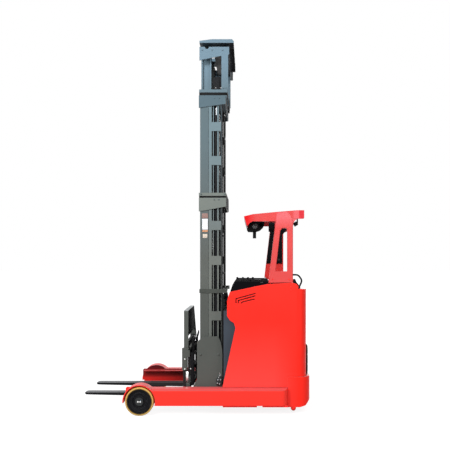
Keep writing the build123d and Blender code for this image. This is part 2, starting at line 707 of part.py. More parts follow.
TIE_ZS = (1006, 1596, 1968, 2660, 3022)
TIE_HIGH = 96
REAR_BAR = (285, MAST_BACK)
STEP_LINE = (151, 157)
GUIDE_STRIPS = ((201, 209), (245, 261))
CYLINDER_X = 237
CYLINDER_Y = 352
BARREL_R = 33
ROD_R = 18
BARREL_TOP = 3150
with BuildPart() as outer_rail_left:
    rail(STAGES["outer"], -1)
    block(REAR_BAR, (-400, -352), (300, OUTER_TOP))
    block(STEP_LINE, (-401, -396), (REACH_TOP, OUTER_TOP - 133), mode=Mode.SUBTRACT)
    for strip in GUIDE_STRIPS:
        block(strip, (-393, -386), (300, OUTER_TOP - 20))
    for z in TIE_ZS:
        block((178, 287), (-400, -390), (z - TIE_HIGH / 2, z + TIE_HIGH / 2))
    block((190, 287), (-400, -320), (300, 330))
    block((190, 287), (-400, -320), (OUTER_TOP - 20, OUTER_TOP))
    rod_z(CYLINDER_X, -CYLINDER_Y, ROD_R + 1, OUTER_TOP - 20, OUTER_TOP, mode=Mode.SUBTRACT)
save_pair("outer_rail", outer_rail_left)

# Collars round the outer mast and its rear cross-members
MID_COLLAR = [(50, 2117), (50, 2263), (340, 2263), (340, 2170)]
TOP_COLLAR = [(50, 3219), (50, 3352), (336, 3352), (336, 3262)]
STIFFENER_FRONT = 212
STIFFENER_THICK = 12
with BuildPart() as outer_cross_members:
    for outline in (MID_COLLAR, TOP_COLLAR):
        for y in (410, -400):
            slab(outline, y, y - 10)
        back = outline[2][0]
        block((back - 12, back), (-400, 400), (outline[3][1], outline[2][1]))
    for y in (410, -400):
        slab([(50, 2283), (50, 2316), (340, 2316), (340, 2283)], y, y - 10)
        slab([(55, 1250), (55, 1292), (350, 1292), (350, 1250)], y, y - 8)
    block((328, 340), (-400, 400), (2263, 2316))
    block((306, 314), (-402, 402), (1250, 1292))
    block((290, 305), (-352, 352), (420, 560))
    for z in (MID_COLLAR[1][1], TOP_COLLAR[1][1]):
        block((STIFFENER_FRONT, 328), (-316, 316), (z - STIFFENER_THICK, z))
save("outer_cross_members", outer_cross_members)

# Lift cylinders beside the rails, each rod running down inside its barrel
with BuildPart() as lift_barrels:
    for side in (-1, 1):
        rod_z(CYLINDER_X, side * CYLINDER_Y, BARREL_R, 330, BARREL_TOP)
        rod_z(CYLINDER_X, side * CYLINDER_Y, ROD_R + 0.5, 350, BARREL_TOP, mode=Mode.SUBTRACT)
save("lift_barrels", lift_barrels)
with BuildPart() as lift_rods:
    for side in (-1, 1):
        rod_z(CYLINDER_X, side * CYLINDER_Y, ROD_R, 360, 3384)
save("lift_rods", lift_rods)

# Middle stage: rails, foot band over the outer mast, rear posts and head plates
HEAD_SIDE = [
    (56, 3727),
    (56, MIDDLE_TOP),
    (112, MIDDLE_TOP),
    (124, 3848),
    (148, 3848),
    (160, MIDDLE_TOP),
    (373, MIDDLE_TOP),
    (373, 3791),
]
POST_X = (290, 362)
with BuildPart() as middle_rail_left:
    rail(STAGES["middle"], -1)
    block((53, 355), (-404, -344), (3384, 3416))
    block((182, 355), (-344, -300), (3384, 3416))
    block((70, 182), (-344, -323), (3384, 3416))
    block(POST_X, (-404, -392), (3416, 3800))
    slab(HEAD_SIDE, -392, -404)
    for x in ((70, 110), (162, 182)):
        block(x, (-392, -323), (3800, MIDDLE_TOP))
    block((110, 162), (-392, -323), (3800, 3830))
save_pair("middle_rail", middle_rail_left)
SHEAVE_X = 250
SHEAVE_Z = 3515
SHEAVE_R = 59
MAST_ROLLER_X = 126
with BuildPart() as middle_cross_members:
    block((343, 355), (-300, 300), (3384, 3416))
    block((361, 373), (-392, 392), (3791, 3870))
    block((STIFFENER_FRONT, 361), (-392, 392), (3796, 3808))
    for side in (-1, 1):
        for y_low, y_high in ((296, 304), (336, 344)):
            block((SHEAVE_X - 16, SHEAVE_X + 16), sorted((side * y_low, side * y_high)), (3416, 3540))
        rod_y(SHEAVE_X, SHEAVE_Z, 12, *sorted((side * 300, side * 340), reverse=True))
        sheave(SHEAVE_X, SHEAVE_Z, SHEAVE_R, *sorted((side * 306, side * 334), reverse=True))
        rod_y(MAST_ROLLER_X, 215, 20, *sorted((side * 323, side * 347), reverse=True))
        rod_y(MAST_ROLLER_X, 215, 45.4, *sorted((side * 347, side * 384), reverse=True))
save("middle_cross_members", middle_cross_members)

# Inner stage: rails, head plate, cross-members and free-lift barrel
with BuildPart() as inner_rail_left:
    rail(STAGES["inner"], -1)
save_pair("inner_rail", inner_rail_left)
FREE_X = 126
FREE_BARREL_TOP = 1900
with BuildPart() as inner_cross_members:
    for z in (300, 2400):
        block((190, 204), (-284, 284), (z, z + 120))
        for y in (-284, 260):
            block((176, 190), (y, y + 24), (z, z + 120))
    block((76, 176), (-234, 234), (140, 160))
    for side in (-1, 1):
        rod_y(MAST_ROLLER_X, 205, 18, *sorted((side * 284, side * 293), reverse=True))
        rod_y(MAST_ROLLER_X, 205, 38.4, *sorted((side * 293, side * 310), reverse=True))
save("inner_cross_members", inner_cross_members)
HEAD_CAP = [
    (56, INNER_TOP),
    (56, 3934),
    (190, MAST_TOP),
    (402, MAST_TOP),
    (421, 3932),
    (421, INNER_TOP),
]
LIP_BOTTOM = 3850
with BuildPart() as inner_head:
    slab(HEAD_CAP, 404, -404)
    block((411, 421), (-404, 404), (LIP_BOTTOM, INNER_TOP))
    block((390, 421), (-404, 404), (LIP_BOTTOM, LIP_BOTTOM + 10))
    block((100, 300), (-200, 200), (INNER_TOP - 5, MAST_TOP + 5), Mode.SUBTRACT)
save("inner_head", inner_head)
ANCHOR_Z = 1690
CHAIN_Y = 91
with BuildPart() as free_lift_barrel:
    rod_z(FREE_X, 0, 48, 160, FREE_BARREL_TOP)
    rod_z(FREE_X, 0, 54, FREE_BARREL_TOP - 40, FREE_BARREL_TOP)
    block((FREE_X + 20, 184), (-CHAIN_Y - 14, CHAIN_Y + 14), (ANCHOR_Z - 30, ANCHOR_Z))
    rod_z(FREE_X, 0, 30.5, 200, FREE_BARREL_TOP, mode=Mode.SUBTRACT)
save("free_lift_barrel", free_lift_barrel)

# Free-lift head: rod, yoke, two chain sheaves and the chains that pass over them
HEAD_Z = 2015
CHAIN_SHEAVE_R = 55
CHAIN_LINK = 15.875
CHAIN_FRONT_END = 660
CHAIN_REAR_END = ANCHOR_Z + 45
with BuildPart() as free_lift_rod:
    rod_z(FREE_X, 0, 30, 250, 1990)
    block((96, 156), (-70, 70), (1990, 2040))
    rod_y(FREE_X, HEAD_Z, 15, 112, -112)
    for y in (CHAIN_Y + 17, -CHAIN_Y + 17):
        sheave(FREE_X, HEAD_Z, CHAIN_SHEAVE_R, y, y - 34)
    plates = []
    for y in (CHAIN_Y, -CHAIN_Y):
        for x, end in ((FREE_X - 47, CHAIN_FRONT_END), (FREE_X + 47, CHAIN_REAR_END)):
            block((x - 3, x + 3), (y - 9, y + 9), (end, HEAD_Z))
            pitches = int((HEAD_Z - CHAIN_SHEAVE_R - end) / CHAIN_LINK)
            plates += [(x, y, end + (k + 0.5) * CHAIN_LINK) for k in range(0, pitches, 2)]
    with Locations(*plates):
        Box(10, 14, CHAIN_LINK)
save("free_lift_rod", free_lift_rod)

# Lift carriage running in the inner rails, with the lugs that carry the tilting frame
CARRIAGE_FRONT = 12
LUG_R = 22
PIN_R = 10
TILT_CYLINDER_Y = 142
TILT_CYLINDER_Z = 272
CARRIAGE_FOOT = 240
with BuildPart() as lift_carriage:
    for side in (-1, 1):
        block((CARRIAGE_FRONT, 165), sorted((side * 205, side * 227)), (CARRIAGE_FOOT, 665))
        for z in (285, 560):
            rod_y(FREE_X, z, 20, *((238, 227) if side > 0 else (-227, -238)))
            rod_y(FREE_X, z, 33.4, *((266, 238) if side > 0 else (-238, -266)))
        low, high = sorted((side * 180, side * 205))
        rod_y(TILT_X, TILT_Z, LUG_R, high, low)
        slab([(TILT_X, TILT_Z - 12), (TILT_X, TILT_Z + 15), (30, 655), (30, 590)], high, low)
        rod_y(TILT_X, TILT_Z, PIN_R + RUNNING_FIT, high + 1, low - 1, mode=Mode.SUBTRACT)
    block((CARRIAGE_FRONT, 30), (-205, 205), (500, 580))
    block((CARRIAGE_FRONT, 30), (-205, 205), (CARRIAGE_FOOT, 305))
    for y in (-TILT_CYLINDER_Y, TILT_CYLINDER_Y):
        with BuildSketch(Plane.YZ.offset(30)) as barrel:
            with Locations((y, TILT_CYLINDER_Z)):
                Circle(24)
        extrude(barrel.sketch, amount=70)
        with BuildSketch(Plane.YZ.offset(8)) as rod:
            with Locations((y, TILT_CYLINDER_Z)):
                Circle(12)
        extrude(rod.sketch, amount=22)
save("lift_carriage", lift_carriage)

# Tilting frame hung on the lift carriage by its pin, with braced uprights and the side-shift barrel
UPRIGHT = [(-39, 590), (-39, 690), (-22, 736), (-10, 776), (0, 776), (0, 740), (-12, 700), (-12, 590)]
with BuildPart() as tilt_frame:
    block((-44, -12), (-330, 330), (560, 600))
    block((-44, -12), (-330, 330), (250, 290))
    for side in (-1, 1):
        block((-44, -12), sorted((side * 300, side * 330)), (290, 560))
        block((-44, -12), sorted((side * 142, side * 172)), (600, 662))
        slab(UPRIGHT, *sorted((side * 214, side * 244), reverse=True))
        rod_y(-43, 432, 8, *sorted((side * 330, side * 337), reverse=True))
    rod_y(TILT_X, TILT_Z, PIN_R, 206, -206)
    rod_y(TILT_X, 425, 21, 200, -200)
    for side in (-1, 1):
        block((-44, -12), sorted((side * 200, side * 214)), (290, 560))
save("tilt_frame", tilt_frame)

# Side-shifting fork carriage, its upper bar notched for the fork pins, and load backrest
NOTCHES = 9
CARRIAGE_BACK = -52
BAR_FRONT = -90
END_PLATE = [(-136, 656), (-136, 416), (BAR_FRONT + 8, 416), (BAR_FRONT + 8, 600), (-60, 656)]
BOLT_X = -104
with BuildPart() as fork_carriage:
    block((BAR_FRONT, CARRIAGE_BACK), (-CARRIAGE_OUT, CARRIAGE_OUT), (560, 630))
    block((BAR_FRONT, CARRIAGE_BACK), (-CARRIAGE_OUT, CARRIAGE_OUT), (210, 280))
    for side in (-1, 1):
        block((-64, CARRIAGE_BACK), sorted((side * 120, side * 160)), (280, 560))
        ends = sorted((side * (CARRIAGE_OUT - 15), side * CARRIAGE_OUT), reverse=True)
        slab(END_PLATE, *ends)
        heads = sorted((side * CARRIAGE_OUT, side * (CARRIAGE_OUT + 8)), reverse=True)
        for z in (538, 432):
            rod_y(BOLT_X, z, 9, *heads)
        block((-136, BAR_FRONT), sorted((side * 318, side * 330)), (560, 630))
    for k in range(NOTCHES):
        y = -CARRIAGE_OUT + 45 + k * (2 * CARRIAGE_OUT - 90) / (NOTCHES - 1)
        block((BAR_FRONT - 1, -72), (y - 6, y + 6), (618, 631), mode=Mode.SUBTRACT)
save("fork_carriage", fork_carriage)
BACKREST_TOP = 1057
BACKREST_FRONT = -115
BACKREST_BACK = -68
SHEET = 8
HOSE_GUARD = [(BACKREST_BACK, 1040), (BACKREST_BACK, 700), (-41, 700), (-41, 725)]
with BuildPart() as load_backrest:
    block((BACKREST_BACK - SHEET, BACKREST_BACK), (-CARRIAGE_OUT, CARRIAGE_OUT), (785, BACKREST_TOP))
    block(
        (BACKREST_FRONT, BACKREST_BACK),
        (-CARRIAGE_OUT, CARRIAGE_OUT),
        (BACKREST_TOP - SHEET, BACKREST_TOP),
    )
    block((-90, BACKREST_BACK), (-CARRIAGE_OUT, CARRIAGE_OUT), (658, 725))
    for side in (-1, 1):
        ends = sorted((side * (CARRIAGE_OUT - 12), side * CARRIAGE_OUT))
        block((BACKREST_FRONT, BACKREST_BACK), ends, (658, BACKREST_TOP))
        block((-90, BACKREST_BACK), sorted((side * 306, side * 322)), (630, 658))
    block((BACKREST_BACK - SHEET, BACKREST_BACK), (-8, 8), (725, 785))
    slab(HOSE_GUARD, CARRIAGE_OUT, CARRIAGE_OUT - 12)
save("load_backrest", load_backrest)

# Forks: shank and tapered blade, hooked on the carriage bars
FORK_BACK = -90
FORK_OUTLINE = [
    (FORK_HEEL, FORK_TOP),
    (FORK_HEEL, 646),
    (-60, 646),
    (-60, 632),
    (FORK_BACK, 632),
    (FORK_BACK, FORK_TOP - FORK_THICK + 16),
    (FORK_HEEL + 20, FORK_TOP - FORK_THICK),
    (-640, FORK_TOP - 34),
    (FORK_TIP + 14, FORK_TOP - 22),
    (FORK_TIP + 3, FORK_TOP - 17),
    (FORK_TIP, FORK_TOP - 11),
    (FORK_TIP + 3, FORK_TOP - 5),
    (FORK_TIP + 14, FORK_TOP),
]
for name, side in SIDES:
    with BuildPart() as fork:
        slab(FORK_OUTLINE, side * FORK_Y + FORK_WIDE / 2, side * FORK_Y - FORK_WIDE / 2)
        with BuildSketch(Plane.XY) as plan:
            with Locations((FORK_TIP / 2, side * FORK_Y)):
                RectangleRounded(-FORK_TIP, FORK_WIDE, 48)
        extrude(plan.sketch, amount=700, mode=Mode.INTERSECT)
    save(f"fork_{name}", fork)

# Reach carriage: side plates, cross-members and rollers in the leg channels
REACH_TOE = -6
REACH_OUTLINE = [
    (REACH_TOE, 112),
    (REACH_TOE, 262),
    (REACH_FRONT, 340),
    (REACH_FRONT, 730),
    (REACH_FRONT + 60, REACH_TOP),
    (258, REACH_TOP),
    (285, 728),
    (REACH_BACK, 638),
    (REACH_BACK, 112),
]
with BuildPart() as reach_plate_left:
    slab(REACH_OUTLINE, -REACH_OUT + REACH_THICK, -REACH_OUT)
save_pair("reach_plate", reach_plate_left)
with BuildPart() as reach_cross_members:
    block((62, 190), (-REACH_OUT + REACH_THICK, REACH_OUT - REACH_THICK), (88, 112))
    block((REACH_TOE, 30), (-REACH_OUT + REACH_THICK, REACH_OUT - REACH_THICK), (112, 150))
    block((200, 284), (-REACH_OUT + REACH_THICK, REACH_OUT - REACH_THICK), (120, 260))
save("reach_cross_members", reach_cross_members)
ROLLER_R = (RAIL_TOP - RAIL_BOTTOM) / 2 - RAIL_FLANGE - ROLLER_FIT
ROLLER_Z = (RAIL_TOP + RAIL_BOTTOM) / 2
with BuildPart() as reach_rollers:
    for side in (-1, 1):
        for x in (95, 255):
            rod_y(x, ROLLER_Z, 22, *((452, REACH_OUT) if side > 0 else (-REACH_OUT, -452)))
            rod_y(x, ROLLER_Z, ROLLER_R, *((498, 452) if side > 0 else (-452, -498)))
        rod_y(MAST_ROLLER_X, 3295, 20, *sorted((side * 344, side * 386), reverse=True))
        rod_y(MAST_ROLLER_X, 3295, 38.4, *sorted((side * 326, side * 344), reverse=True))
save("reach_rollers", reach_rollers)
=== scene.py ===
"""Looks of the electric reach truck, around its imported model. Metres, forks towards -X, Z up."""

import json
import math

import bmesh
import bpy
from mathutils import Matrix, Vector


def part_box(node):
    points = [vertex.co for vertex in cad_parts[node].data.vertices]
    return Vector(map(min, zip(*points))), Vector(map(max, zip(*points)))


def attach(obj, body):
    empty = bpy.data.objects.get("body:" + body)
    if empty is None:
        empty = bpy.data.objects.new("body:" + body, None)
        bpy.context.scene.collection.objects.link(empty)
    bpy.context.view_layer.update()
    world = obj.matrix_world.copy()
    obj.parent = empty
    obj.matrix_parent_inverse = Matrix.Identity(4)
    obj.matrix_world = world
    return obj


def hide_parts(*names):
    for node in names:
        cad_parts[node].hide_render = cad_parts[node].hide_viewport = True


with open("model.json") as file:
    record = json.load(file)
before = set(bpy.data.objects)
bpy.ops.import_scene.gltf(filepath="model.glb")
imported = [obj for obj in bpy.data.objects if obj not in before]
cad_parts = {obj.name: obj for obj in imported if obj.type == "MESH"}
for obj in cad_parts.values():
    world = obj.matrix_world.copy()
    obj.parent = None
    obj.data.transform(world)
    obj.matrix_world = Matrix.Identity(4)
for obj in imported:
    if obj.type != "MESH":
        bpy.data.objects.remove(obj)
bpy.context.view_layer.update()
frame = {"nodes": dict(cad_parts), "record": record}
NODES = frame["nodes"]

# Camera: fitted to the photograph, whose frame is 450 pixels square
FRAME_PX = 450
PRINCIPAL_X = 249
PRINCIPAL_Y = 257
CAMERA_AT = (0.5835, -6.735, 1.633)
CAMERA_LENS = 47.6
SENSOR_WIDTH = 36.0
CLIP_END = 200.0

# Colours as linear red, green and blue
WHITE = (1.0, 1.0, 1.0)
SKY_BLUE = (0.45, 0.72, 1.0)
RED = (0.93, 0.022, 0.012)
# Painted floor reflection, a paler red low on the panels
RED_PALE = (0.86, 0.055, 0.045)
# Painted shade on the legs' inner faces
RED_SHADED = (0.25, 0.012, 0.012)
# Painted sky sheen on faces that look up
RED_SKY_SHEEN = (0.64, 0.066, 0.06)
# Deepest painted shade, high in the leg channels and inside the roof
RED_DEEP_SHADE = (0.12, 0.006, 0.01)
# Painted sky sheen on the panels' top faces
RED_TOP_SHEEN = (0.62, 0.17, 0.16)
# Painted light low in the leg channels
RED_CHANNEL_LIGHT = (0.6, 0.02, 0.016)
RED_LEG = (0.9, 0.037, 0.025)
# Painted highlight along the legs' tops
RED_HIGHLIGHT = (0.66, 0.09, 0.09)
# A red paled by a painted sheen, on the guard and the roof
GUARD_SHEEN_RED = (0.64, 0.06, 0.056)
# The plainer red of the guard's inner faces, out of the painted sheen
GUARD_INNER = (0.88, 0.04, 0.034)
# Painted highlight high on the guard and on the roof's rear
GUARD_HIGHLIGHT = (0.72, 0.115, 0.125)
VISOR_RED = (0.66, 0.004, 0.006)
ROOF_END_RED = (0.62, 0.03, 0.04)
# Painted shade in the panels' grooves
VENT_SHADE_RED = (0.045, 0.001, 0.001)
MAST_LOW = (0.092, 0.098, 0.088)
# Painted sky reflection, bluer up the mast
MAST_SKY_HIGH = (0.094, 0.13, 0.142)
MAST_SKY_TOP = (0.14, 0.208, 0.254)
BAND_GREY = (0.052, 0.057, 0.05)
COLLAR_GREY = (0.155, 0.17, 0.152)
# Painted sky reflection on the upper collar
COLLAR_SKY_TINT = (0.08, 0.12, 0.14)
# Painted shade on the mast's inner stage
INNER_SHADE_BLACK = (0.014, 0.016, 0.016)
FRONT_GREY = (0.105, 0.125, 0.135)
# Painted highlight along the backrest's rim
BACKREST_RIM_LIT = (0.3, 0.31, 0.31)
# Painted sheen on the forks' tops
SHEEN_STEEL = (0.13, 0.13, 0.135)
# Painted shade on the forks near their heel
HEEL_SHADE = (0.024, 0.02, 0.02)
# Near black: painted shade inside the mast, under its cap and on the lift carriage and cap cheeks;
# also the colour of the mast's faces that look back, of its rear bar and of the console
NEAR_BLACK = (0.005, 0.005, 0.006)
BLACK = (0.006, 0.006, 0.007)
BATTERY_BLUE = (0.042, 0.052, 0.066)
STEEL = (0.5, 0.51, 0.52)
STEEL_DARK = (0.022, 0.024, 0.024)
STEEL_BRIGHT = (0.82, 0.82, 0.8)
CHROME = (0.75, 0.76, 0.78)
ROD_GREY = (0.22, 0.23, 0.24)
PLASTIC_BLACK = (0.005, 0.005, 0.006)
RUBBER_BLACK = (0.01, 0.01, 0.01)
VINYL_BLACK = (0.016, 0.016, 0.015)
KEY_BLACK = (0.05, 0.05, 0.048)
DRIVE_TREAD = (0.02, 0.017, 0.015)
TREAD = (0.5, 0.25, 0.05)
TREAD_SIDE = (0.74, 0.48, 0.15)
# Painted shade on the tread's inner rim
TREAD_INNER_SHADE = (0.16, 0.09, 0.02)
LENS_GREY = (0.1, 0.11, 0.115)
AMBER = (0.8, 0.25, 0.02)

# The near side is the photographed one
SIDES = (-1, 1)
NEAR_SIDE = (-1,)
NAMED_SIDES = (("left", -1), ("right", 1))
TO_NEAR = (0, -1, 0)
WHEEL_X = -0.544
WHEEL_Z = 0.147


def material(name, colour, rough, metal=0.0, specular=0.5):
    """A principled material, with its node tree and shader."""
    mat = bpy.data.materials.new(name)
    mat.use_nodes = True
    shader = mat.node_tree.nodes["Principled BSDF"]
    shader.inputs["Base Color"].default_value = (*colour, 1.0)
    shader.inputs["Roughness"].default_value = rough
    shader.inputs["Metallic"].default_value = metal
    shader.inputs["Specular IOR Level"].default_value = specular
    return mat, mat.node_tree, shader


def object_coords(tree):
    """A point's place in its object, in metres."""
    return tree.nodes.new("ShaderNodeTexCoord").outputs["Object"]


def noise(tree, scale, detail, stretch=(1.0, 1.0, 1.0)):
    """A noise texture in object coordinates, in metres."""
    mapping = tree.nodes.new("ShaderNodeMapping")
    mapping.inputs["Scale"].default_value = stretch
    texture = tree.nodes.new("ShaderNodeTexNoise")
    texture.inputs["Scale"].default_value = scale
    texture.inputs["Detail"].default_value = detail
    tree.links.new(object_coords(tree), mapping.inputs["Vector"])
    tree.links.new(mapping.outputs["Vector"], texture.inputs["Vector"])
    return texture.outputs["Fac"]


def remap(tree, source, low, high, source_low=0.3, source_high=0.7):
    """Map a source's range onto a range of values."""
    node = tree.nodes.new("ShaderNodeMapRange")
    node.inputs["From Min"].default_value = source_low
    node.inputs["From Max"].default_value = source_high
    node.inputs["To Min"].default_value = low
    node.inputs["To Max"].default_value = high
    tree.links.new(source, node.inputs["Value"])
    return node.outputs["Result"]


def combined(tree, operation, first, second):
    """Two values brought together by a math operation."""
    node = tree.nodes.new("ShaderNodeMath")
    node.operation = operation
    tree.links.new(first, node.inputs[0])
    tree.links.new(second, node.inputs[1])
    return node.outputs[0]


def blend_colours(tree, factor, first, second, blend="MIX"):
    """Mix two colours or colour outputs by a factor output."""
    mix = tree.nodes.new("ShaderNodeMix")
    mix.data_type = "RGBA"
    mix.blend_type = blend
    for socket, colour in (("A", first), ("B", second)):
        if isinstance(colour, bpy.types.NodeSocket):
            tree.links.new(colour, mix.inputs[socket])
        else:
            mix.inputs[socket].default_value = (*colour, 1.0)
    tree.links.new(factor, mix.inputs["Factor"])
    return mix.outputs["Result"]


def tinted(colour, factor):
    """A colour made darker or brighter."""
    return tuple(min(1.0, c * factor) for c in colour)


def clouded(tree, colour, scale, detail, darker, lighter):
    """A colour that wanders between a darker and a lighter tint."""
    clouds = remap(tree, noise(tree, scale, detail), 0.0, 1.0)
    return blend_colours(tree, clouds, tinted(colour, darker), tinted(colour, lighter))


def rounded_normal(tree, radius):
    """The surface's direction, with edges rounded to a radius."""
    rounded = tree.nodes.new("ShaderNodeBevel")
    rounded.samples = 4
    rounded.inputs["Radius"].default_value = radius
    return rounded.outputs["Normal"]


def edge_wear_and_sheen(tree, radius):
    """How far a point's rounded normal leaves its true one: 1 along edges, 0 on flats."""
    geometry = tree.nodes.new("ShaderNodeNewGeometry")
    turn = tree.nodes.new("ShaderNodeVectorMath")
    turn.operation = "DOT_PRODUCT"
    tree.links.new(rounded_normal(tree, radius), turn.inputs[0])
    tree.links.new(geometry.outputs["Normal"], turn.inputs[1])
    return remap(tree, turn.outputs["Value"], 1.0, 0.0, source_low=0.75, source_high=0.98)


def bump(tree, shader, source, distance, edge_radius=0.0):
    """Bump from a source, its height in metres, over edges rounded to a radius."""
    node = tree.nodes.new("ShaderNodeBump")
    node.inputs["Distance"].default_value = distance
    tree.links.new(source, node.inputs["Height"])
    if edge_radius:
        tree.links.new(rounded_normal(tree, edge_radius), node.inputs["Normal"])
    tree.links.new(node.outputs["Normal"], shader.inputs["Normal"])


def wheel_radius(tree):
    """A point's distance from the load wheels' axis."""
    offset = tree.nodes.new("ShaderNodeMapping")
    offset.inputs["Location"].default_value = (-WHEEL_X, 0.0, -WHEEL_Z)
    offset.inputs["Scale"].default_value = (1.0, 0.0, 1.0)
    length = tree.nodes.new("ShaderNodeVectorMath")
    length.operation = "LENGTH"
    tree.links.new(object_coords(tree), offset.inputs["Vector"])
    tree.links.new(offset.outputs["Vector"], length.inputs[0])
    return length.outputs["Value"]


# Axes that are one part of a point's place or of the direction that it faces
PLAIN_AXES = {"X": "X", "Z": "Z", "faces_back": "X", "faces_up": "Z"}


def axis_value(tree, axis):
    """A point's X or Z, its distance from the middle plane or the wheel axis, or where it faces."""
    if axis == "hub":
        return wheel_radius(tree)
    split = tree.nodes.new("ShaderNodeSeparateXYZ")
    if axis.startswith("faces"):
        geometry = tree.nodes.new("ShaderNodeNewGeometry")
        tree.links.new(geometry.outputs["True Normal"], split.inputs["Vector"])
    else:
        tree.links.new(object_coords(tree), split.inputs["Vector"])
    if axis in PLAIN_AXES:
        return split.outputs[PLAIN_AXES[axis]]
    aside = tree.nodes.new("ShaderNodeMath")
    aside.operation = "ABSOLUTE"
    tree.links.new(split.outputs["Y"], aside.inputs[0])
    return aside.outputs[0]


def share(tree, axis, start, full):
    """0 where a layer starts along its axis, 1 where it is full."""
    return remap(tree, axis_value(tree, axis), 0.0, 1.0, start, full)


def layered(tree, base, layers):
    """A base under layers: each an axis, its start and full value, and a colour or a factor."""
    for axis, start, full, change in layers:
        factor = share(tree, axis, start, full)
        if isinstance(change, float):
            base = blend_colours(tree, factor, base, (change, change, change), "MULTIPLY")
        else:
            base = blend_colours(tree, factor, base, change)
    return base


# Paint: width of its lighter edges, partly wear and partly a painted highlight, the grey they go to
# and how far, and the orange peel's depth
WEAR_AND_SHEEN_WIDTH = 0.004
WEAR_AND_SHEEN_GREY = 0.6
WEAR_AND_SHEEN_SHARE = 0.25
PEEL_DEPTH = 0.00012
# Radius to which edges look rounded, on paint and on mouldings
PAINT_EDGE = 0.003
MOULDED_EDGE = 0.002


def painted(name, colour, rough, specular=0.12, layers=(), matt=None):
    """Sprayed paint: faint clouding, orange peel, uneven gloss, edges a shade lighter as wear and
    as a painted highlight.

    The matt is an axis with the values from which and where the gloss is gone.
    """
    mat, tree, shader = material(name, colour, rough, specular=specular)
    base = clouded(tree, colour, scale=2.3, detail=5.0, darker=0.92, lighter=1.06)
    base = layered(tree, base, layers)
    pale = tuple(c + WEAR_AND_SHEEN_SHARE * (WEAR_AND_SHEEN_GREY - c) for c in colour)
    patches = remap(tree, noise(tree, scale=24.0, detail=6.0), 0.0, 0.55)
    wear_and_sheen = combined(tree, "MULTIPLY", edge_wear_and_sheen(tree, WEAR_AND_SHEEN_WIDTH), patches)
    tree.links.new(blend_colours(tree, wear_and_sheen, base, pale), shader.inputs["Base Color"])
    gloss = remap(tree, noise(tree, scale=9.0, detail=4.0), rough - 0.05, rough + 0.08)
    if matt:
        gloss = combined(tree, "MAXIMUM", gloss, share(tree, *matt))
    tree.links.new(gloss, shader.inputs["Roughness"])
    bump(tree, shader, noise(tree, scale=240.0, detail=2.0), PEEL_DEPTH, PAINT_EDGE)
    return mat


def grained(name, colour, rough, scale, depth, layers=()):
    """Moulded plastic or rubber with a fine grain of a scale and a depth."""
    mat, tree, shader = material(name, colour, rough, specular=0.07)
    base = clouded(tree, colour, scale=6.0, detail=4.0, darker=0.75, lighter=1.35)
    tree.links.new(layered(tree, base, layers), shader.inputs["Base Color"])
    bump(tree, shader, noise(tree, scale, detail=2.0), depth, MOULDED_EDGE)
    return mat


def metal(name, colour, rough, stretch=(1.0, 1.0, 1.0)):
    """Bare metal with a drawn grain."""
    mat, tree, shader = material(name, colour, rough, metal=1.0)
    grain = noise(tree, scale=60.0, detail=4.0, stretch=stretch)
    tree.links.new(remap(tree, grain, rough - 0.08, rough + 0.12), shader.inputs["Roughness"])
    base = clouded(tree, colour, scale=14.0, detail=3.0, darker=0.85, lighter=1.05)
    tree.links.new(base, shader.inputs["Base Color"])
    return mat


def lens_glass(name, colour):
    """Moulded clear or amber lens: glossy, ribbed and slightly see-through."""
    mat, tree, shader = material(name, colour, rough=0.12, specular=0.6)
    shader.inputs["Transmission Weight"].default_value = 0.25
    ribs = tree.nodes.new("ShaderNodeTexWave")
    ribs.inputs["Scale"].default_value = 60.0
    tree.links.new(object_coords(tree), ribs.inputs["Vector"])
    bump(tree, shader, ribs.outputs["Fac"], distance=0.0006)
    return mat


# Layers of the red paint, most of them painted light
# Painted sky sheen on faces that look up
TOP_SKY_SHEEN = ("faces_up", 0.6, 0.85, RED_SKY_SHEEN)
# The legs: painted shade on their inner faces, painted light low in their channels and deeper
# painted shade high up, darker towards the mast, their outsides red, a painted highlight along
# their tops
CHANNEL_FLOOR_LIGHT = ("Z", 0.195, 0.165, RED_CHANNEL_LIGHT)
CHANNEL_ROOF_SHADE = ("Z", 0.262, 0.285, RED_DEEP_SHADE)
LEG_SHADE = ("X", -0.75, -0.25, 0.4)
LEG_OUTSIDE = ("aside", 0.5055, 0.507, RED_LEG)
LEG_TOP_HIGHLIGHT = ("faces_up", 0.88, 0.97, RED_HIGHLIGHT)
# The panels: a painted floor reflection low down that fades towards the rear, and a painted sky
# sheen on their tops
PANEL_LOW_REFLECTION = ("Z", 0.95, 0.3, RED_PALE)
PANEL_REAR = ("X", 0.85, 1.1, RED)
PANEL_TOP_SHEEN = ("faces_up", 0.5, 0.8, RED_TOP_SHEEN)
# The guard: a painted highlight high up, and its inner faces a plainer red than its painted sheen
GUARD_UPPER_HIGHLIGHT = ("Z", 1.93, 2.05, GUARD_HIGHLIGHT)
GUARD_INSIDE = ("aside", 0.5, 0.495, GUARD_INNER)
# The roof: a purer red at the visor, a painted highlight at the rear, a deeper red end, and painted
# shade inside
ROOF_VISOR = ("X", 0.66, 0.56, VISOR_RED)
ROOF_REAR_HIGHLIGHT = ("X", 1.03, 1.06, GUARD_HIGHLIGHT)
ROOF_END = ("X", 1.1, 1.11, ROOF_END_RED)
ROOF_INSIDE_SHADE = ("aside", 0.49, 0.485, RED_DEEP_SHADE)

# Layers of the mast's paint, most of them painted light
BELOW_BAND = ("Z", 1.245, 1.235, 0.84)
# Painted sky reflection, bluer up the mast
SKY_TINT_UP_THE_MAST = [("Z", 1.6, 2.9, MAST_SKY_HIGH), ("Z", 3.2, 3.7, MAST_SKY_TOP)]
# Near black on faces that look back, and the paint's grey on faces that look forward
REAR_FACES = ("faces_back", 0.5, 0.8, NEAR_BLACK)
FRONT_FACES = ("faces_back", -0.5, -0.8, FRONT_GREY)
# Painted highlight behind the rail's step
RAIL_STEP_HIGHLIGHT = ("X", 0.153, 0.157, 1.5)
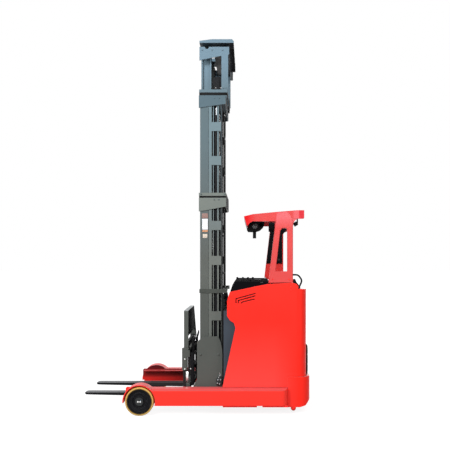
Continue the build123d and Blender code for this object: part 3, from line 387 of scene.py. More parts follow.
# Painted shadow in the middle collar's gap
COLLAR_GAP_SHADOW = [("Z", 2.2635, 2.2645, 0.2), ("Z", 2.2815, 2.2825, 5.0)]
REAR_BAR = ("X", 0.2878, 0.2884, NEAR_BLACK)
# Painted shade on the inner faces of the rails and ties
OUTER_INSIDE_SHADE = ("aside", 0.3895, 0.3885, NEAR_BLACK)
MIDDLE_INSIDE_SHADE = ("aside", 0.3215, 0.3205, NEAR_BLACK)
TIES_INSIDE_SHADE = ("aside", 0.39, 0.385, NEAR_BLACK)
# Collars lighter in the middle, with a painted sky reflection on the upper one
MIDDLE_COLLAR = ("Z", 1.4, 2.1, COLLAR_GREY)
UPPER_COLLAR_SKY = ("Z", 2.4, 3.2, COLLAR_SKY_TINT)
# Painted shade under the cap
CAP_UNDER_SHADE = ("Z", 3.913, 3.911, NEAR_BLACK)
# Backrest: near black on faces that look up, and a painted highlight along its rim
BACKREST_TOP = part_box("load_backrest")[1].z
BACKREST_FACES = ("faces_up", 0.3, 0.6, NEAR_BLACK)
BACKREST_RIM_HIGHLIGHT = ("Z", BACKREST_TOP - 0.006, BACKREST_TOP - 0.003, BACKREST_RIM_LIT)

# Layers of the forks' paint and of the load wheels' treads: a painted sheen on the forks' tops and
# painted shade near their heel, the treads' sides lighter and painted shade on their inner rim
FORK_TOP_SHEEN = ("faces_up", 0.6, 0.85, SHEEN_STEEL)
FORK_HEEL_SHADE = ("X", -0.85, -0.55, HEEL_SHADE)
TREAD_LAYERS = [("faces_aside", 0.6, 0.95, TREAD_SIDE), ("hub", 0.138, 0.131, TREAD_INNER_SHADE)]

# Roughness of the paints, where the mast's gloss is gone, and the drawn grain of the rods
RED_ROUGH = 0.34
GUARD_ROUGH = 0.3
MAST_ROUGH = 0.42
MATT_REAR = ("faces_back", 0.3, 0.6)
MATT_CAP_FOOT = CAP_UNDER_SHADE[:3]
ROD_GRAIN = (1.0, 1.0, 8.0)


def mast_coat(name, layers, colour=MAST_LOW, matt=MATT_REAR):
    """The mast's paint with layers of its own."""
    return painted(name, colour, MAST_ROUGH, layers=layers, matt=matt)


# One material for each slot
MATERIALS = {
    "red_paint": painted("red_paint", RED, RED_ROUGH, layers=[TOP_SKY_SHEEN]),
    "mast_paint": mast_coat("mast_paint", [BELOW_BAND, *SKY_TINT_UP_THE_MAST, REAR_FACES]),
    "black_paint": painted("black_paint", BLACK, 0.4, specular=0.08),
    "battery_paint": painted("battery_paint", BATTERY_BLUE, 0.45),
    "zinc_steel": metal("zinc_steel", STEEL, 0.35),
    "chrome_rod": metal("chrome_rod", CHROME, 0.16, ROD_GRAIN),
    "black_plastic": grained("black_plastic", PLASTIC_BLACK, 0.5, 900.0, 0.0001),
    "black_rubber": grained("black_rubber", RUBBER_BLACK, 0.72, 350.0, 0.0003),
    "wheel_tread": grained("wheel_tread", TREAD, 0.42, 120.0, 0.0002, TREAD_LAYERS),
    "drive_tread": grained("drive_tread", DRIVE_TREAD, 0.6, 200.0, 0.0003),
}

# Materials of small pieces
DARK_STEEL = painted("dark_steel", STEEL_DARK, 0.4, specular=0.2)
BRIGHT_STEEL = metal("bright_steel", STEEL_BRIGHT, 0.25)
CLEAR_LENS = lens_glass("clear_lens", LENS_GREY)
AMBER_LENS = lens_glass("amber_lens", AMBER)
VENT_SHADE = grained("vent_shade", VENT_SHADE_RED, 0.7, 300.0, 0.0001)
KEY_GREY = grained("key_grey", KEY_BLACK, 0.5, 400.0, 0.00005)
PAD_VINYL = grained("pad_vinyl", VINYL_BLACK, 0.6, 260.0, 0.0004)

# Paint that differs by place, much of it painted light: legs with painted shade and light in their
# channels, panels with a painted floor reflection low down, the mast near black inside as painted
# shade and with a painted highlight behind its step, the forks' tops with a painted sheen, the
# backrest's rim a painted highlight
LEG_PAINT = painted(
    "leg_red",
    RED_SHADED,
    RED_ROUGH,
    layers=[CHANNEL_FLOOR_LIGHT, CHANNEL_ROOF_SHADE, LEG_SHADE, LEG_OUTSIDE, TOP_SKY_SHEEN, LEG_TOP_HIGHLIGHT],
)
PANEL_PAINT = painted("panel_red", RED, RED_ROUGH, layers=[PANEL_LOW_REFLECTION, PANEL_REAR, PANEL_TOP_SHEEN])
GUARD_PAINT = painted("guard_red", GUARD_SHEEN_RED, GUARD_ROUGH, layers=[GUARD_UPPER_HIGHLIGHT, GUARD_INSIDE])
ROOF_PAINT = painted(
    "roof_red",
    GUARD_SHEEN_RED,
    GUARD_ROUGH,
    specular=0.06,
    layers=[ROOF_VISOR, ROOF_REAR_HIGHLIGHT, ROOF_END, ROOF_INSIDE_SHADE],
)
OUTER_MAST = mast_coat(
    "outer_mast",
    [
        BELOW_BAND,
        *SKY_TINT_UP_THE_MAST,
        RAIL_STEP_HIGHLIGHT,
        *COLLAR_GAP_SHADOW,
        REAR_BAR,
        REAR_FACES,
        OUTER_INSIDE_SHADE,
        FRONT_FACES,
    ],
)
COLLARS = mast_coat("collars", [MIDDLE_COLLAR, UPPER_COLLAR_SKY, REAR_FACES], colour=BAND_GREY)
MIDDLE_MAST = mast_coat("middle_mast", [*SKY_TINT_UP_THE_MAST, REAR_FACES, MIDDLE_INSIDE_SHADE, FRONT_FACES])
MIDDLE_TIES = mast_coat("middle_ties", [*SKY_TINT_UP_THE_MAST, REAR_FACES, TIES_INSIDE_SHADE])
MAST_CAP = mast_coat("mast_cap", [*SKY_TINT_UP_THE_MAST, REAR_FACES, CAP_UNDER_SHADE], matt=MATT_CAP_FOOT)
BACKREST = mast_coat("backrest", [BELOW_BAND, BACKREST_FACES, BACKREST_RIM_HIGHLIGHT, REAR_FACES])
FORKS = painted("forks", BLACK, 0.5, specular=0.08, layers=[FORK_TOP_SHEEN, FORK_HEEL_SHADE])
# Painted shade on the lift carriage and the cap cheeks; the console's own black
SHADE_BLACK = painted("shade_black", NEAR_BLACK, 0.85, specular=0.05)
CONSOLE_BLACK = painted("console_black", NEAR_BLACK, 0.92, specular=0.01)
# The inner stage near black as painted shade, its front faces grey
INNER_MAST = painted("inner_mast", INNER_SHADE_BLACK, 0.7, specular=0.05, layers=[FRONT_FACES])
OILED_ROD = metal("oiled_rod", ROD_GREY, 0.3, ROD_GRAIN)
NODE_PAINTS = {
    DARK_STEEL: ("load_axle_left", "load_axle_right"),
    LEG_PAINT: ("leg_left", "leg_right"),
    PANEL_PAINT: ("side_panel_left", "side_panel_right", "rear_bumper"),
    GUARD_PAINT: ("guard_frame_left", "guard_frame_right"),
    ROOF_PAINT: ("guard_roof",),
    OUTER_MAST: ("outer_rail_left", "outer_rail_right"),
    COLLARS: ("outer_cross_members",),
    MIDDLE_MAST: ("middle_rail_left", "middle_rail_right"),
    MIDDLE_TIES: ("middle_cross_members",),
    MAST_CAP: ("inner_head",),
    BACKREST: ("load_backrest",),
    FORKS: ("fork_left", "fork_right"),
    INNER_MAST: ("inner_rail_left", "inner_rail_right", "inner_cross_members"),
    SHADE_BLACK: ("lift_carriage",),
    CONSOLE_BLACK: ("console", "hood_front"),
    OILED_ROD: ("lift_rods",),
}


def paint_nodes():
    """Give each node its slot's material, or its own paint where it has one."""
    slots = {part["node"]: part["material_slot"] for part in frame["record"]["subparts"]}
    for node_name, node in NODES.items():
        node.data.materials.clear()
        node.data.materials.append(MATERIALS[slots[node_name]])
    for paint, node_names in NODE_PAINTS.items():
        for node_name in node_names:
            NODES[node_name].data.materials[0] = paint


def add_object(name, data, body):
    """An object of some data, riding on a body."""
    piece = bpy.data.objects.new(name, data)
    bpy.context.scene.collection.objects.link(piece)
    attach(piece, body)
    return piece


def new_piece(name, body, slot, mesh, mat=None, smooth_angle=35):
    """A piece from a bmesh, in its slot's material unless another is given."""
    data = bpy.data.meshes.new(name)
    bmesh.ops.recalc_face_normals(mesh, faces=mesh.faces)
    mesh.to_mesh(data)
    mesh.free()
    data.materials.append(mat or MATERIALS[slot])
    for polygon in data.polygons:
        polygon.use_smooth = True
    data.set_sharp_from_angle(angle=math.radians(smooth_angle))
    return add_object(name, data, body)


def along(direction):
    """A rotation that turns +Z to a direction."""
    return Vector(direction).to_track_quat("Z", "Y").to_matrix().to_4x4()


def lathe(mesh, profile, place, direction, steps):
    """Turn a profile of radius and height points about an axis, closed at both ends."""
    turned = Matrix.Translation(place) @ along(direction)
    rings = []
    for radius, height in profile:
        ring = []
        for k in range(steps):
            angle = 2 * math.pi * k / steps
            point = Vector((radius * math.cos(angle), radius * math.sin(angle), height))
            ring.append(mesh.verts.new(turned @ point))
        rings.append(ring)
    for low, high in zip(rings, rings[1:]):
        for k in range(steps):
            mesh.faces.new((low[k - 1], low[k], high[k], high[k - 1]))
    mesh.faces.new(list(reversed(rings[0])))
    mesh.faces.new(rings[-1])


def round_edges(mesh, edges, radius):
    """Round edges of a mesh."""
    bmesh.ops.bevel(mesh, geom=edges, offset=radius, segments=2, affect="EDGES", profile=0.5)


def rounded_box(mesh, low, high, edge):
    """A box between two corners with its edges rounded."""
    low, high = Vector(low), Vector(high)
    size = Matrix.Diagonal((*(high - low), 1.0))
    place = Matrix.Translation((low + high) / 2)
    made = bmesh.ops.create_cube(mesh, size=1.0, matrix=place @ size)
    round_edges(mesh, list({e for v in made["verts"] for e in v.link_edges}), edge)


def add_boxes(mesh, sides, boxes):
    """Rounded boxes on each side, from X, sideways and Z ranges and their edges' radius."""
    for side in sides:
        for xs, ys, zs, edge in boxes:
            low, high = sorted((side * ys[0], side * ys[1]))
            rounded_box(mesh, (xs[0], low, zs[0]), (xs[1], high, zs[1]), edge)


def box_piece(name, body, slot, boxes, sides=SIDES, mat=None):
    """A piece of rounded boxes, on both sides unless told otherwise."""
    mesh = bmesh.new()
    add_boxes(mesh, sides, boxes)
    new_piece(name, body, slot, mesh, mat)


def add_prism(mesh, outline, ys):
    """A prism between two Y values, from an outline of X and Z points."""
    rings = [[mesh.verts.new((x, y, z)) for x, z in outline] for y in ys]
    mesh.faces.new(rings[0])
    mesh.faces.new(list(reversed(rings[1])))
    for k in range(len(outline)):
        mesh.faces.new((rings[0][k - 1], rings[0][k], rings[1][k], rings[1][k - 1]))


# Bolt heads: radius and height points, in parts of the width across flats or of the radius
WASHER = ((0.72, 0.0), (0.72, 0.1))
HEX_HEAD = ((0.57, 0.1), (0.57, 0.42), (0.46, 0.5))
SOCKET_HEAD = ((1.0, 0.0), (1.0, 0.75), (0.85, 0.95), (0.55, 0.95), (0.5, 0.4))


def scaled(profile, size):
    """A profile in metres, from one in parts of a size."""
    return [(radius * size, height * size) for radius, height in profile]


def hex_bolt(mesh, place, direction, across):
    """A washer and a hexagon head with its chamfer."""
    lathe(mesh, scaled(WASHER, across), place, direction, 20)
    lathe(mesh, scaled(HEX_HEAD, across), place, direction, 6)


def socket_bolt(mesh, place, direction, radius):
    """A cylinder head with a rounded rim and its socket."""
    lathe(mesh, scaled(SOCKET_HEAD, radius), place, direction, 18)


def bolt_rows(mesh, rows):
    """Hexagon heads on both sides, from each row's X values, distance aside, Z values and width."""
    for side in SIDES:
        for xs, y, zs, across in rows:
            for z in zs:
                for x in xs:
                    hex_bolt(mesh, (x, side * y, z), (0, side, 0), across)


def tube(name, points, radius, body, slot):
    """A round hose or pipe along a smooth curve through control points."""
    data = bpy.data.curves.new(name, "CURVE")
    data.dimensions = "3D"
    data.bevel_depth = radius
    data.bevel_resolution = 4
    data.use_fill_caps = True
    data.resolution_u = 10
    spline = data.splines.new("NURBS")
    spline.points.add(len(points) - 1)
    for point, place in zip(spline.points, points):
        point.co = (*place, 1.0)
    spline.order_u = 3
    spline.use_endpoint_u = True
    data.materials.append(MATERIALS[slot])
    add_object(name, data, body)


def make_camera():
    """The photograph's camera: level, looking along +Y, its frame shifted off the horizon."""
    data = bpy.data.cameras.new("camera")
    data.lens = CAMERA_LENS
    data.sensor_width = SENSOR_WIDTH
    data.shift_x = -(PRINCIPAL_X - FRAME_PX / 2) / FRAME_PX
    data.shift_y = (PRINCIPAL_Y - FRAME_PX / 2) / FRAME_PX
    data.clip_end = CLIP_END
    camera = bpy.data.objects.new("camera", data)
    camera.location = CAMERA_AT
    camera.rotation_euler = (math.radians(90), 0.0, 0.0)
    bpy.context.scene.collection.objects.link(camera)
    bpy.context.scene.camera = camera


# Lamps: name, place, target, size, power and colour
LAMPS = (
    ("key", (-4.2, -6.8, 6.0), (0.3, 0.0, 1.5), 3.5, 720.0, WHITE),
    ("front", (1.0, -9.5, 3.2), (0.4, 0.0, 1.4), 3.0, 220.0, WHITE),
    ("side", (6.2, -5.6, 3.0), (1.0, -0.3, 0.9), 2.5, 170.0, WHITE),
    ("back", (3.2, 7.6, 5.0), (0.3, 0.0, 1.6), 3.0, 420.0, WHITE),
    ("forks", (-7.4, 3.2, 4.4), (0.1, 0.0, 1.6), 3.0, 300.0, WHITE),
    ("sky", (-1.6, -4.6, 6.2), (0.2, -0.3, 3.7), 1.5, 60.0, SKY_BLUE),
)


def make_lights():
    """Soft square lamps, each aimed at a point."""
    for name, place, target, size, power, colour in LAMPS:
        data = bpy.data.lights.new(name, "AREA")
        data.size = size
        data.energy = power
        data.color = colour
        lamp = bpy.data.objects.new(name, data)
        lamp.location = place
        aim = Vector(target) - Vector(place)
        lamp.rotation_euler = aim.to_track_quat("-Z", "Y").to_euler()
        bpy.context.scene.collection.objects.link(lamp)


def background_ray(tree):
    """1 for rays that see the background directly, in a mirror or through glass."""
    path = tree.nodes.new("ShaderNodeLightPath")
    camera = path.outputs["Is Camera Ray"]
    mirror = path.outputs["Is Glossy Ray"]
    glass = path.outputs["Is Transmission Ray"]
    return combined(tree, "MAXIMUM", combined(tree, "MAXIMUM", camera, mirror), glass)


# How bright the white world is as light
WORLD_LIGHT = 0.28


def make_world():
    """White to look at, and a softer white as light."""
    world = bpy.data.worlds.new("studio")
    world.use_nodes = True
    tree = world.node_tree
    back = tree.nodes["Background"]
    back.inputs["Color"].default_value = (*WHITE, 1.0)
    strength = tree.nodes.new("ShaderNodeMapRange")
    strength.inputs["To Min"].default_value = WORLD_LIGHT
    strength.inputs["To Max"].default_value = 1.0
    tree.links.new(background_ray(tree), strength.inputs["Value"])
    tree.links.new(strength.outputs["Result"], back.inputs["Strength"])
    bpy.context.scene.world = world


# Floor: its half width and grey, and its glow near the truck and far off
FLOOR_REACH = 60.0
FLOOR_GREY = (0.24, 0.24, 0.24)
GLOW_NEAR = 0.86
GLOW_FAR = 1.0
NEAR_REACH = 2.0
FAR_REACH = 7.0


def make_floor():
    """A wide pale floor that keeps the shadow."""
    mesh = bmesh.new()
    bmesh.ops.create_grid(mesh, x_segments=1, y_segments=1, size=FLOOR_REACH)
    data = bpy.data.meshes.new("floor")
    mesh.to_mesh(data)
    mesh.free()
    floor = bpy.data.objects.new("floor", data)
    bpy.context.scene.collection.objects.link(floor)
    mat, tree, shader = material("floor", FLOOR_GREY, rough=0.95, specular=0.0)
    shader.inputs["Emission Color"].default_value = (*WHITE, 1.0)
    reach = tree.nodes.new("ShaderNodeVectorMath")
    reach.operation = "LENGTH"
    tree.links.new(object_coords(tree), reach.inputs[0])
    glow = remap(tree, reach.outputs["Value"], GLOW_NEAR, GLOW_FAR, NEAR_REACH, FAR_REACH)
    glow = combined(tree, "MULTIPLY", glow, background_ray(tree))
    tree.links.new(glow, shader.inputs["Emission Strength"])
    data.materials.append(mat)


# Load wheels: two bolts on each axle cap, and the rims of the recesses round each hub
CAP_FACE_Y = 0.634
CAP_BOLT_OFFSET = 0.012
CAP_BOLT = ((0.0085, -0.002), (0.0085, 0.002), (0.006, 0.004))
HUB_FACE_Y = 0.6055
RECESSES = 6
RECESS_CIRCLE = 0.078
RECESS_RIM = ((0.011, -0.003), (0.0125, 0.0), (0.011, 0.0025), (0.008, 0.0), (0.0075, -0.002))


def make_wheel_bolts():
    """Two bright bolts on each axle cap."""
    mesh = bmesh.new()
    for side in SIDES:
        for offset in (-CAP_BOLT_OFFSET, CAP_BOLT_OFFSET):
            place = (WHEEL_X + offset, side * CAP_FACE_Y, WHEEL_Z)
            lathe(mesh, CAP_BOLT, place, (0, side, 0), 12)
    new_piece("axle_cap_bolts", "chassis", "zinc_steel", mesh, BRIGHT_STEEL)


def make_hub_rings():
    """The rims of the recesses round each load wheel's hub."""
    for name, side in NAMED_SIDES:
        mesh = bmesh.new()
        for k in range(RECESSES):
            angle = 2 * math.pi * k / RECESSES
            x = WHEEL_X + RECESS_CIRCLE * math.cos(angle)
            z = WHEEL_Z + RECESS_CIRCLE * math.sin(angle)
            lathe(mesh, RECESS_RIM, (x, side * HUB_FACE_Y, z), (0, side, 0), 16)
        new_piece("hub_bosses_" + name, "load_wheel_" + name, "black_paint", mesh)


# Bolts of the mast: rows on the outer one's collars and feet, and on the middle one's head
OUTER_BOLTS = (
    ((0.215, 0.262), 0.41, (2.242, 3.322), 0.012),
    ((0.075, 0.325), 0.41, (2.3,), 0.014),
    ((0.07, 0.26), 0.43, (0.16, 0.6), 0.018),
)
HEAD_BOLTS = (
    ((0.31, 0.34), 0.404, (3.43,), 0.014),
    ((0.085, 0.19, 0.3), 0.404, (3.835,), 0.013),
)


def make_mast_bolts():
    """Bolt heads on the outer mast's collars and feet and on the middle stage's head."""
    outer = bmesh.new()
    bolt_rows(outer, OUTER_BOLTS)
    new_piece("mast_bolts", "reach", "mast_paint", outer)
    middle = bmesh.new()
    bolt_rows(middle, HEAD_BOLTS)
    new_piece("head_bolts", "mast_middle", "mast_paint", middle)


# Hoses on the near rear bar of the outer mast, with their clamps, and the covers below the band
HOSE_X = 0.3145
HOSE_YS = (-0.336, -0.316, -0.296)
HOSE_ZS = (3.2, 2.7, 2.2, 1.7, 1.3)
HOSE_RADIUS = 0.008
CLAMP_XS = (0.304, 0.3255)
CLAMP_YS = (0.28, 0.352)
CLAMP_ZS = (1.45, 1.85, 2.5, 2.9, 3.15)
CLAMP_HEIGHT = 0.018
CLAMP_EDGE = 0.002
HOSE_COVER = (((0.2915, 0.2965), (0.15, 0.292), (0.562, 1.24), 0.002),)


def make_mast_hoses():
    """Hoses clamped along the near rear bar, and the covers beside both bars below the band."""
    for k, y in enumerate(HOSE_YS):
        route = [(HOSE_X, y, z) for z in HOSE_ZS]
        tube(f"mast_hose_{k}", route, HOSE_RADIUS, "reach", "black_rubber")
    clamps = [(CLAMP_XS, CLAMP_YS, (z, z + CLAMP_HEIGHT), CLAMP_EDGE) for z in CLAMP_ZS]
    box_piece("hose_clamps", "reach", "black_paint", clamps, NEAR_SIDE)
    box_piece("hose_cover", "reach", "black_paint", HOSE_COVER)


# Formed pipes under the band: each one's Y and lower end, the X and Z points at the band, and the
# X points of the lower bend with how far each lies above the lower end
PIPE_ENDS = ((-0.38, 1.19), (-0.352, 1.15), (-0.324, 1.11))
PIPE_RADIUS = 0.008
PIPE_START = ((0.311, 1.262), (0.33, 1.262), (0.349, 1.255))
PIPE_BEND = ((0.352, 0.02), (0.352, -0.015), (0.34, -0.025), (0.3, -0.025))
PIPE_BRACKET = (
    ((0.295, 0.304), (0.3, 0.395), (1.07, 1.25), 0.002),
    ((0.312, 0.352), (0.31, 0.4), (1.268, 1.29), 0.003),
)
STUB_Y = -0.392
STUB_RUN = ((0.305, 1.271), (0.325, 1.272), (0.346, 1.288), (0.372, 1.318))
STUB_RADIUS = 0.007


def make_band_pipes():
    """Formed pipes under the outer mast's band, with their bracket and a short stub."""
    for k, (y, end) in enumerate(PIPE_ENDS):
        route = [(x, y, z) for x, z in PIPE_START]
        route += [(x, y, end + above) for x, above in PIPE_BEND]
        tube(f"band_pipe_{k}", route, PIPE_RADIUS, "reach", "black_paint")
    box_piece("hose_bracket", "reach", "mast_paint", PIPE_BRACKET, NEAR_SIDE)
    stub = [(x, STUB_Y, z) for x, z in STUB_RUN]
    tube("hose_horn", stub, STUB_RADIUS, "reach", "mast_paint")


# Valve block low on the near reach plate: its boxes, nipples and pipes, placed by X and Z
VALVE = (
    ((0.238, 0.298), (0.429, 0.446), (0.276, 0.352), 0.003),
    ((0.262, 0.292), (0.429, 0.441), (0.35, 0.378), 0.003),
)
NIPPLE = ((0.0085, 0), (0.0085, 0.008), (0.006, 0.01), (0.006, 0.016), (0.004, 0.018))
NIPPLE_Y = -0.445
NIPPLE_PLACES = ((0.25, 0.3), (0.272, 0.292), (0.284, 0.336), (0.256, 0.334))
VALVE_PIPE = ((0.0045, 0.0), (0.0045, 0.034))
VALVE_PIPE_Y = -0.437
VALVE_PIPE_RUNS = (((0.262, 0.352), (0.35, 0, 0.93)), ((0.283, 0.376), (-0.3, 0, 0.93)))


def make_reach_fittings():
    """The valve block with its nipples and two short pipes."""
    box_piece("reach_valve", "reach", "black_paint", VALVE, NEAR_SIDE, DARK_STEEL)
    nipples = bmesh.new()
    for x, z in NIPPLE_PLACES:
        lathe(nipples, NIPPLE, (x, NIPPLE_Y, z), TO_NEAR, 6)
    for (x, z), direction in VALVE_PIPE_RUNS:
        lathe(nipples, VALVE_PIPE, (x, VALVE_PIPE_Y, z), direction, 10)
    new_piece("reach_nipples", "reach", "zinc_steel", nipples)


# Fork carriage and tilting frame: bolt ends with X, distance aside and Z values, and the hooks
SHIFT_CAP = ((0.0085, -0.001), (0.0085, 0.003), (0.006, 0.006))
SHIFT_CAPS_AT = (-0.104, 0.353, (0.538, 0.432))
TILT_CAP = ((0.0075, -0.001), (0.0075, 0.003), (0.005, 0.006))
TILT_CAPS_AT = (-0.043, 0.337, (0.432,))
LOWER_HOOKS = (((-0.094, -0.068), (0.331, 0.345), (0.282, 0.404), 0.003),)


def add_caps(mesh, profile, places):
    """Bolt ends on both sides, at an X, a distance aside and Z values."""
    x, y, zs = places
    for side in SIDES:
        for z in zs:
            lathe(mesh, profile, (x, side * y, z), (0, side, 0), 14)


def make_carriage_fasteners():
    """Bright bolt ends and the lower hooks of the fork carriage, and the tilting frame's bolts."""
    shift = bmesh.new()
    add_caps(shift, SHIFT_CAP, SHIFT_CAPS_AT)
    add_boxes(shift, SIDES, LOWER_HOOKS)
    new_piece("carriage_hooks", "side_shift", "zinc_steel", shift, BRIGHT_STEEL)
    tilt = bmesh.new()
    add_caps(tilt, TILT_CAP, TILT_CAPS_AT)
    new_piece("tilt_frame_bolts", "tilt", "zinc_steel", tilt, BRIGHT_STEEL)


# Grooves of the side panels: the X and Z of each run's points, as cut in the panels
VENT_RUNS = (
    ((0.449, 1.15), (0.449, 1.199), (0.652, 1.254)),
    ((0.473, 1.15), (0.473, 1.18), (0.652, 1.229)),
    ((0.498, 1.15), (0.518, 1.165), (0.642, 1.195)),
)
PANEL_Y = 0.545
VENT_HALF = 0.0049
VENT_OVERLAP = 0.002
VENT_DEPTHS = (0.0055, 0.0092)


def make_vent_shade():
    """Dark strips in the grooves of both side panels, as painted shade inside them."""
    for name, side in NAMED_SIDES:
        mesh = bmesh.new()
        ys = [side * (PANEL_Y - depth) for depth in VENT_DEPTHS]
        for run in VENT_RUNS:
            for start, end in zip(run, run[1:]):
                line = (Vector(end) - Vector(start)).normalized()
                edge = Vector((-line.y, line.x)) * VENT_HALF
                start = Vector(start) - line * VENT_OVERLAP
                end = Vector(end) + line * VENT_OVERLAP
                add_prism(mesh, (start + edge, end + edge, end - edge, start - edge), ys)
        new_piece("vent_shade_strips_" + name, "chassis", "red_paint", mesh, VENT_SHADE)


# Rear bars of the outer mast: rubber strips behind them and round their outer edge
REAR_BAR_STRIPS = (
    ((0.3045, 0.3108), (0.354, 0.401), (0.34, 1.24), 0.002),
    ((0.2925, 0.3108), (0.399, 0.404), (0.34, 1.24), 0.002),
)
# Hose manifolds below the band, with their bolts
MANIFOLDS = (
    ((0.3105, 0.334), (0.371, 0.403), (1.075, 1.178), 0.005),
    ((0.3105, 0.319), (0.371, 0.403), (1.17, 1.243), 0.003),
)
MANIFOLD_BOLTS = (((0.322,), 0.403, (1.095, 1.125, 1.155), 0.014),)
# Black strips in the gap of the middle collar as painted shadow, and the middle stage's stop pads
COLLAR_GAP_SHADE_STRIP = (((0.052, 0.338), (0.396, 0.4055), (2.2625, 2.2835), 0.002),)
STOP_PADS = (
    ((0.0535, 0.352), (0.394, 0.403), (3.3545, 3.3845), 0.002),
    ((0.2, 0.3), (0.306, 0.334), (3.415, 3.451), 0.003),
)
# Cheeks under the mast's cap: short ones on both sides, a long one and a lug on the near side
CHEEK_YS = (0.392, 0.403)
SHORT_CHEEKS = (
    ((0.3765, 0.392), CHEEK_YS, (3.756, 3.913), 0.003),
    ((0.391, 0.412), CHEEK_YS, (3.855, 3.913), 0.003),
)
LONG_CHEEK = (((0.384, 0.404), CHEEK_YS, (3.598, 3.76), 0.003),)
CAP_LUG = (((0.386, 0.412), CHEEK_YS, (3.512, 3.602), 0.004),)


def make_rear_bar_strips():
    """Rubber strips on the rear bars."""
    box_piece("rear_bar_strips", "reach", "black_rubber", REAR_BAR_STRIPS)


def make_mast_fittings():
    """Black strips as painted shadow in the outer mast's collar gap, its hose manifolds, and stop
    pads of the middle one.
    """
    box_piece("collar_gap_shade", "reach", "black_rubber", COLLAR_GAP_SHADE_STRIP)
    blocks = bmesh.new()
    add_boxes(blocks, SIDES, MANIFOLDS)
    bolt_rows(blocks, MANIFOLD_BOLTS)
    new_piece("hose_manifolds", "reach", "black_paint", blocks)
    box_piece("stop_pads", "mast_middle", "black_rubber", STOP_PADS)


def make_cap_cheeks():
    """Cheeks under the mast's cap and the small lug below them."""
    cheeks = bmesh.new()
    add_boxes(cheeks, SIDES, SHORT_CHEEKS)
    add_boxes(cheeks, NEAR_SIDE, LONG_CHEEK)
    # The cheeks are near black, as painted shade behind the cap
    new_piece("cap_cheeks", "mast_inner", "mast_paint", cheeks, SHADE_BLACK)
    box_piece("cap_lug", "mast_inner", "mast_paint", CAP_LUG, NEAR_SIDE, DARK_STEEL)


# Rubber strips on the battery's front: how far they stand out and lie in, and their margins
STRIP_OUT = 0.0042
STRIP_IN = 0.001
STRIP_FROM_SIDE = (0.05, 0.004)
STRIP_FROM_ENDS = 0.01
STRIP_EDGE = 0.0015


def make_battery_edges():
    """Rubber strips down the battery's front, beside its edges."""
    low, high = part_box("battery")
    xs = (low.x - STRIP_OUT, low.x + STRIP_IN)
    ys = [high.y - margin for margin in STRIP_FROM_SIDE]
    zs = (low.z + STRIP_FROM_ENDS, high.z - STRIP_FROM_ENDS)
    box_piece("battery_edges", "chassis", "black_rubber", ((xs, ys, zs, STRIP_EDGE),))


# Blank plates on the near rail: name, colour, X range and Z range
PLATES = (
    ("dusty", (0.26, 0.16, 0.14), (0.082, 0.147), (2.045, 2.097)),
    ("white", (0.74, 0.73, 0.74), (0.085, 0.145), (1.925, 2.04)),
    ("orange", (0.5, 0.24, 0.13), (0.087, 0.143), (1.9, 1.92)),
    ("beige", (0.52, 0.44, 0.36), (0.092, 0.14), (1.836, 1.878)),
)
PLATE_YS = (0.3995, 0.4015)
PLATE_EDGE = 0.0005


def make_blank_plates():
    """Small blank plates on the mast's rail."""
    for name, colour, xs, zs in PLATES:
        mat = grained("plate_" + name, colour, 0.4, 500.0, 0.00005)
        box = (xs, PLATE_YS, zs, PLATE_EDGE)
        box_piece("rail_plate_" + name, "reach", "mast_paint", (box,), NEAR_SIDE, mat)


# Lenses of the truck's lamps: name, material, profile, place, direction and steps
POD_FACE_Y = -0.238
WORK_LENS = ((0.0305, 0.009), (0.0285, 0.013), (0.018, 0.017), (0.006, 0.0185))
SECOND_LENS = ((0.041, 0.0), (0.038, 0.006), (0.02, 0.012))
REAR_LENS = ((0.019, 0.0), (0.017, 0.004), (0.008, 0.006))
POD_LENS = ("work_lamp_lens", CLEAR_LENS, WORK_LENS, (0.648, POD_FACE_Y, 1.97), TO_NEAR, 28)
OTHER_LENSES = (
    ("second_lamp_lens", CLEAR_LENS, SECOND_LENS, (0.812, -0.18, 1.962), (-1, 0, 0), 28),
    ("rear_lamp_lens", AMBER_LENS, REAR_LENS, (1.0953, -0.4, 1.994), (0.866, 0, 0.5), 20),
)
FAN_AT = (0.714, POD_FACE_Y - 0.0105, 1.984)
FAN_RINGS = (0.022, 0.015, 0.009)
FAN_WIRE = 0.0012
FAN_HEIGHT = 0.002


def lens_piece(name, mat, profile, place, direction, steps):
    """The lens of one lamp."""
    lens = bmesh.new()
    lathe(lens, profile, place, direction, steps)
    new_piece(name, "chassis", "black_plastic", lens, mat)


def make_lamps():
    """Lenses of the lamps under the roof and at its rear, and the guard of the pod's fan."""
    lens_piece(*POD_LENS)
    guard = bmesh.new()
    for radius in FAN_RINGS:
        ring = [(radius - FAN_WIRE, 0.0), (radius, FAN_HEIGHT), (radius + FAN_WIRE, 0.0)]
        for low, high in zip(ring, ring[1:]):
            lathe(guard, [low, high], FAN_AT, TO_NEAR, 24)
    new_piece("fan_guard", "chassis", "black_plastic", guard, DARK_STEEL)
    for lens in OTHER_LENSES:
        lens_piece(*lens)


# Console: keys in rows of three, a strip on its near face, the screen and the block at its end
CONSOLE_TOP = 1.372
KEY_XS = (0.615, 0.649, 0.683)
KEY_YS = (-0.42, -0.38)
KEY_ZS = (1.359, 1.365)
KEY_SIZE = (0.022, 0.026)
KEY_EDGE = 0.002
KEY_STRIP = ((0.7, -0.5305, 1.364), (0.732, -0.5275, 1.37), 0.001)
SCREEN = ((0.6, -0.05, CONSOLE_TOP - 0.001), (0.72, 0.13, CONSOLE_TOP + 0.003), 0.002)
END_BLOCK = ((0.74, -0.5, CONSOLE_TOP - 0.003), (0.774, -0.44, 1.409), 0.006)


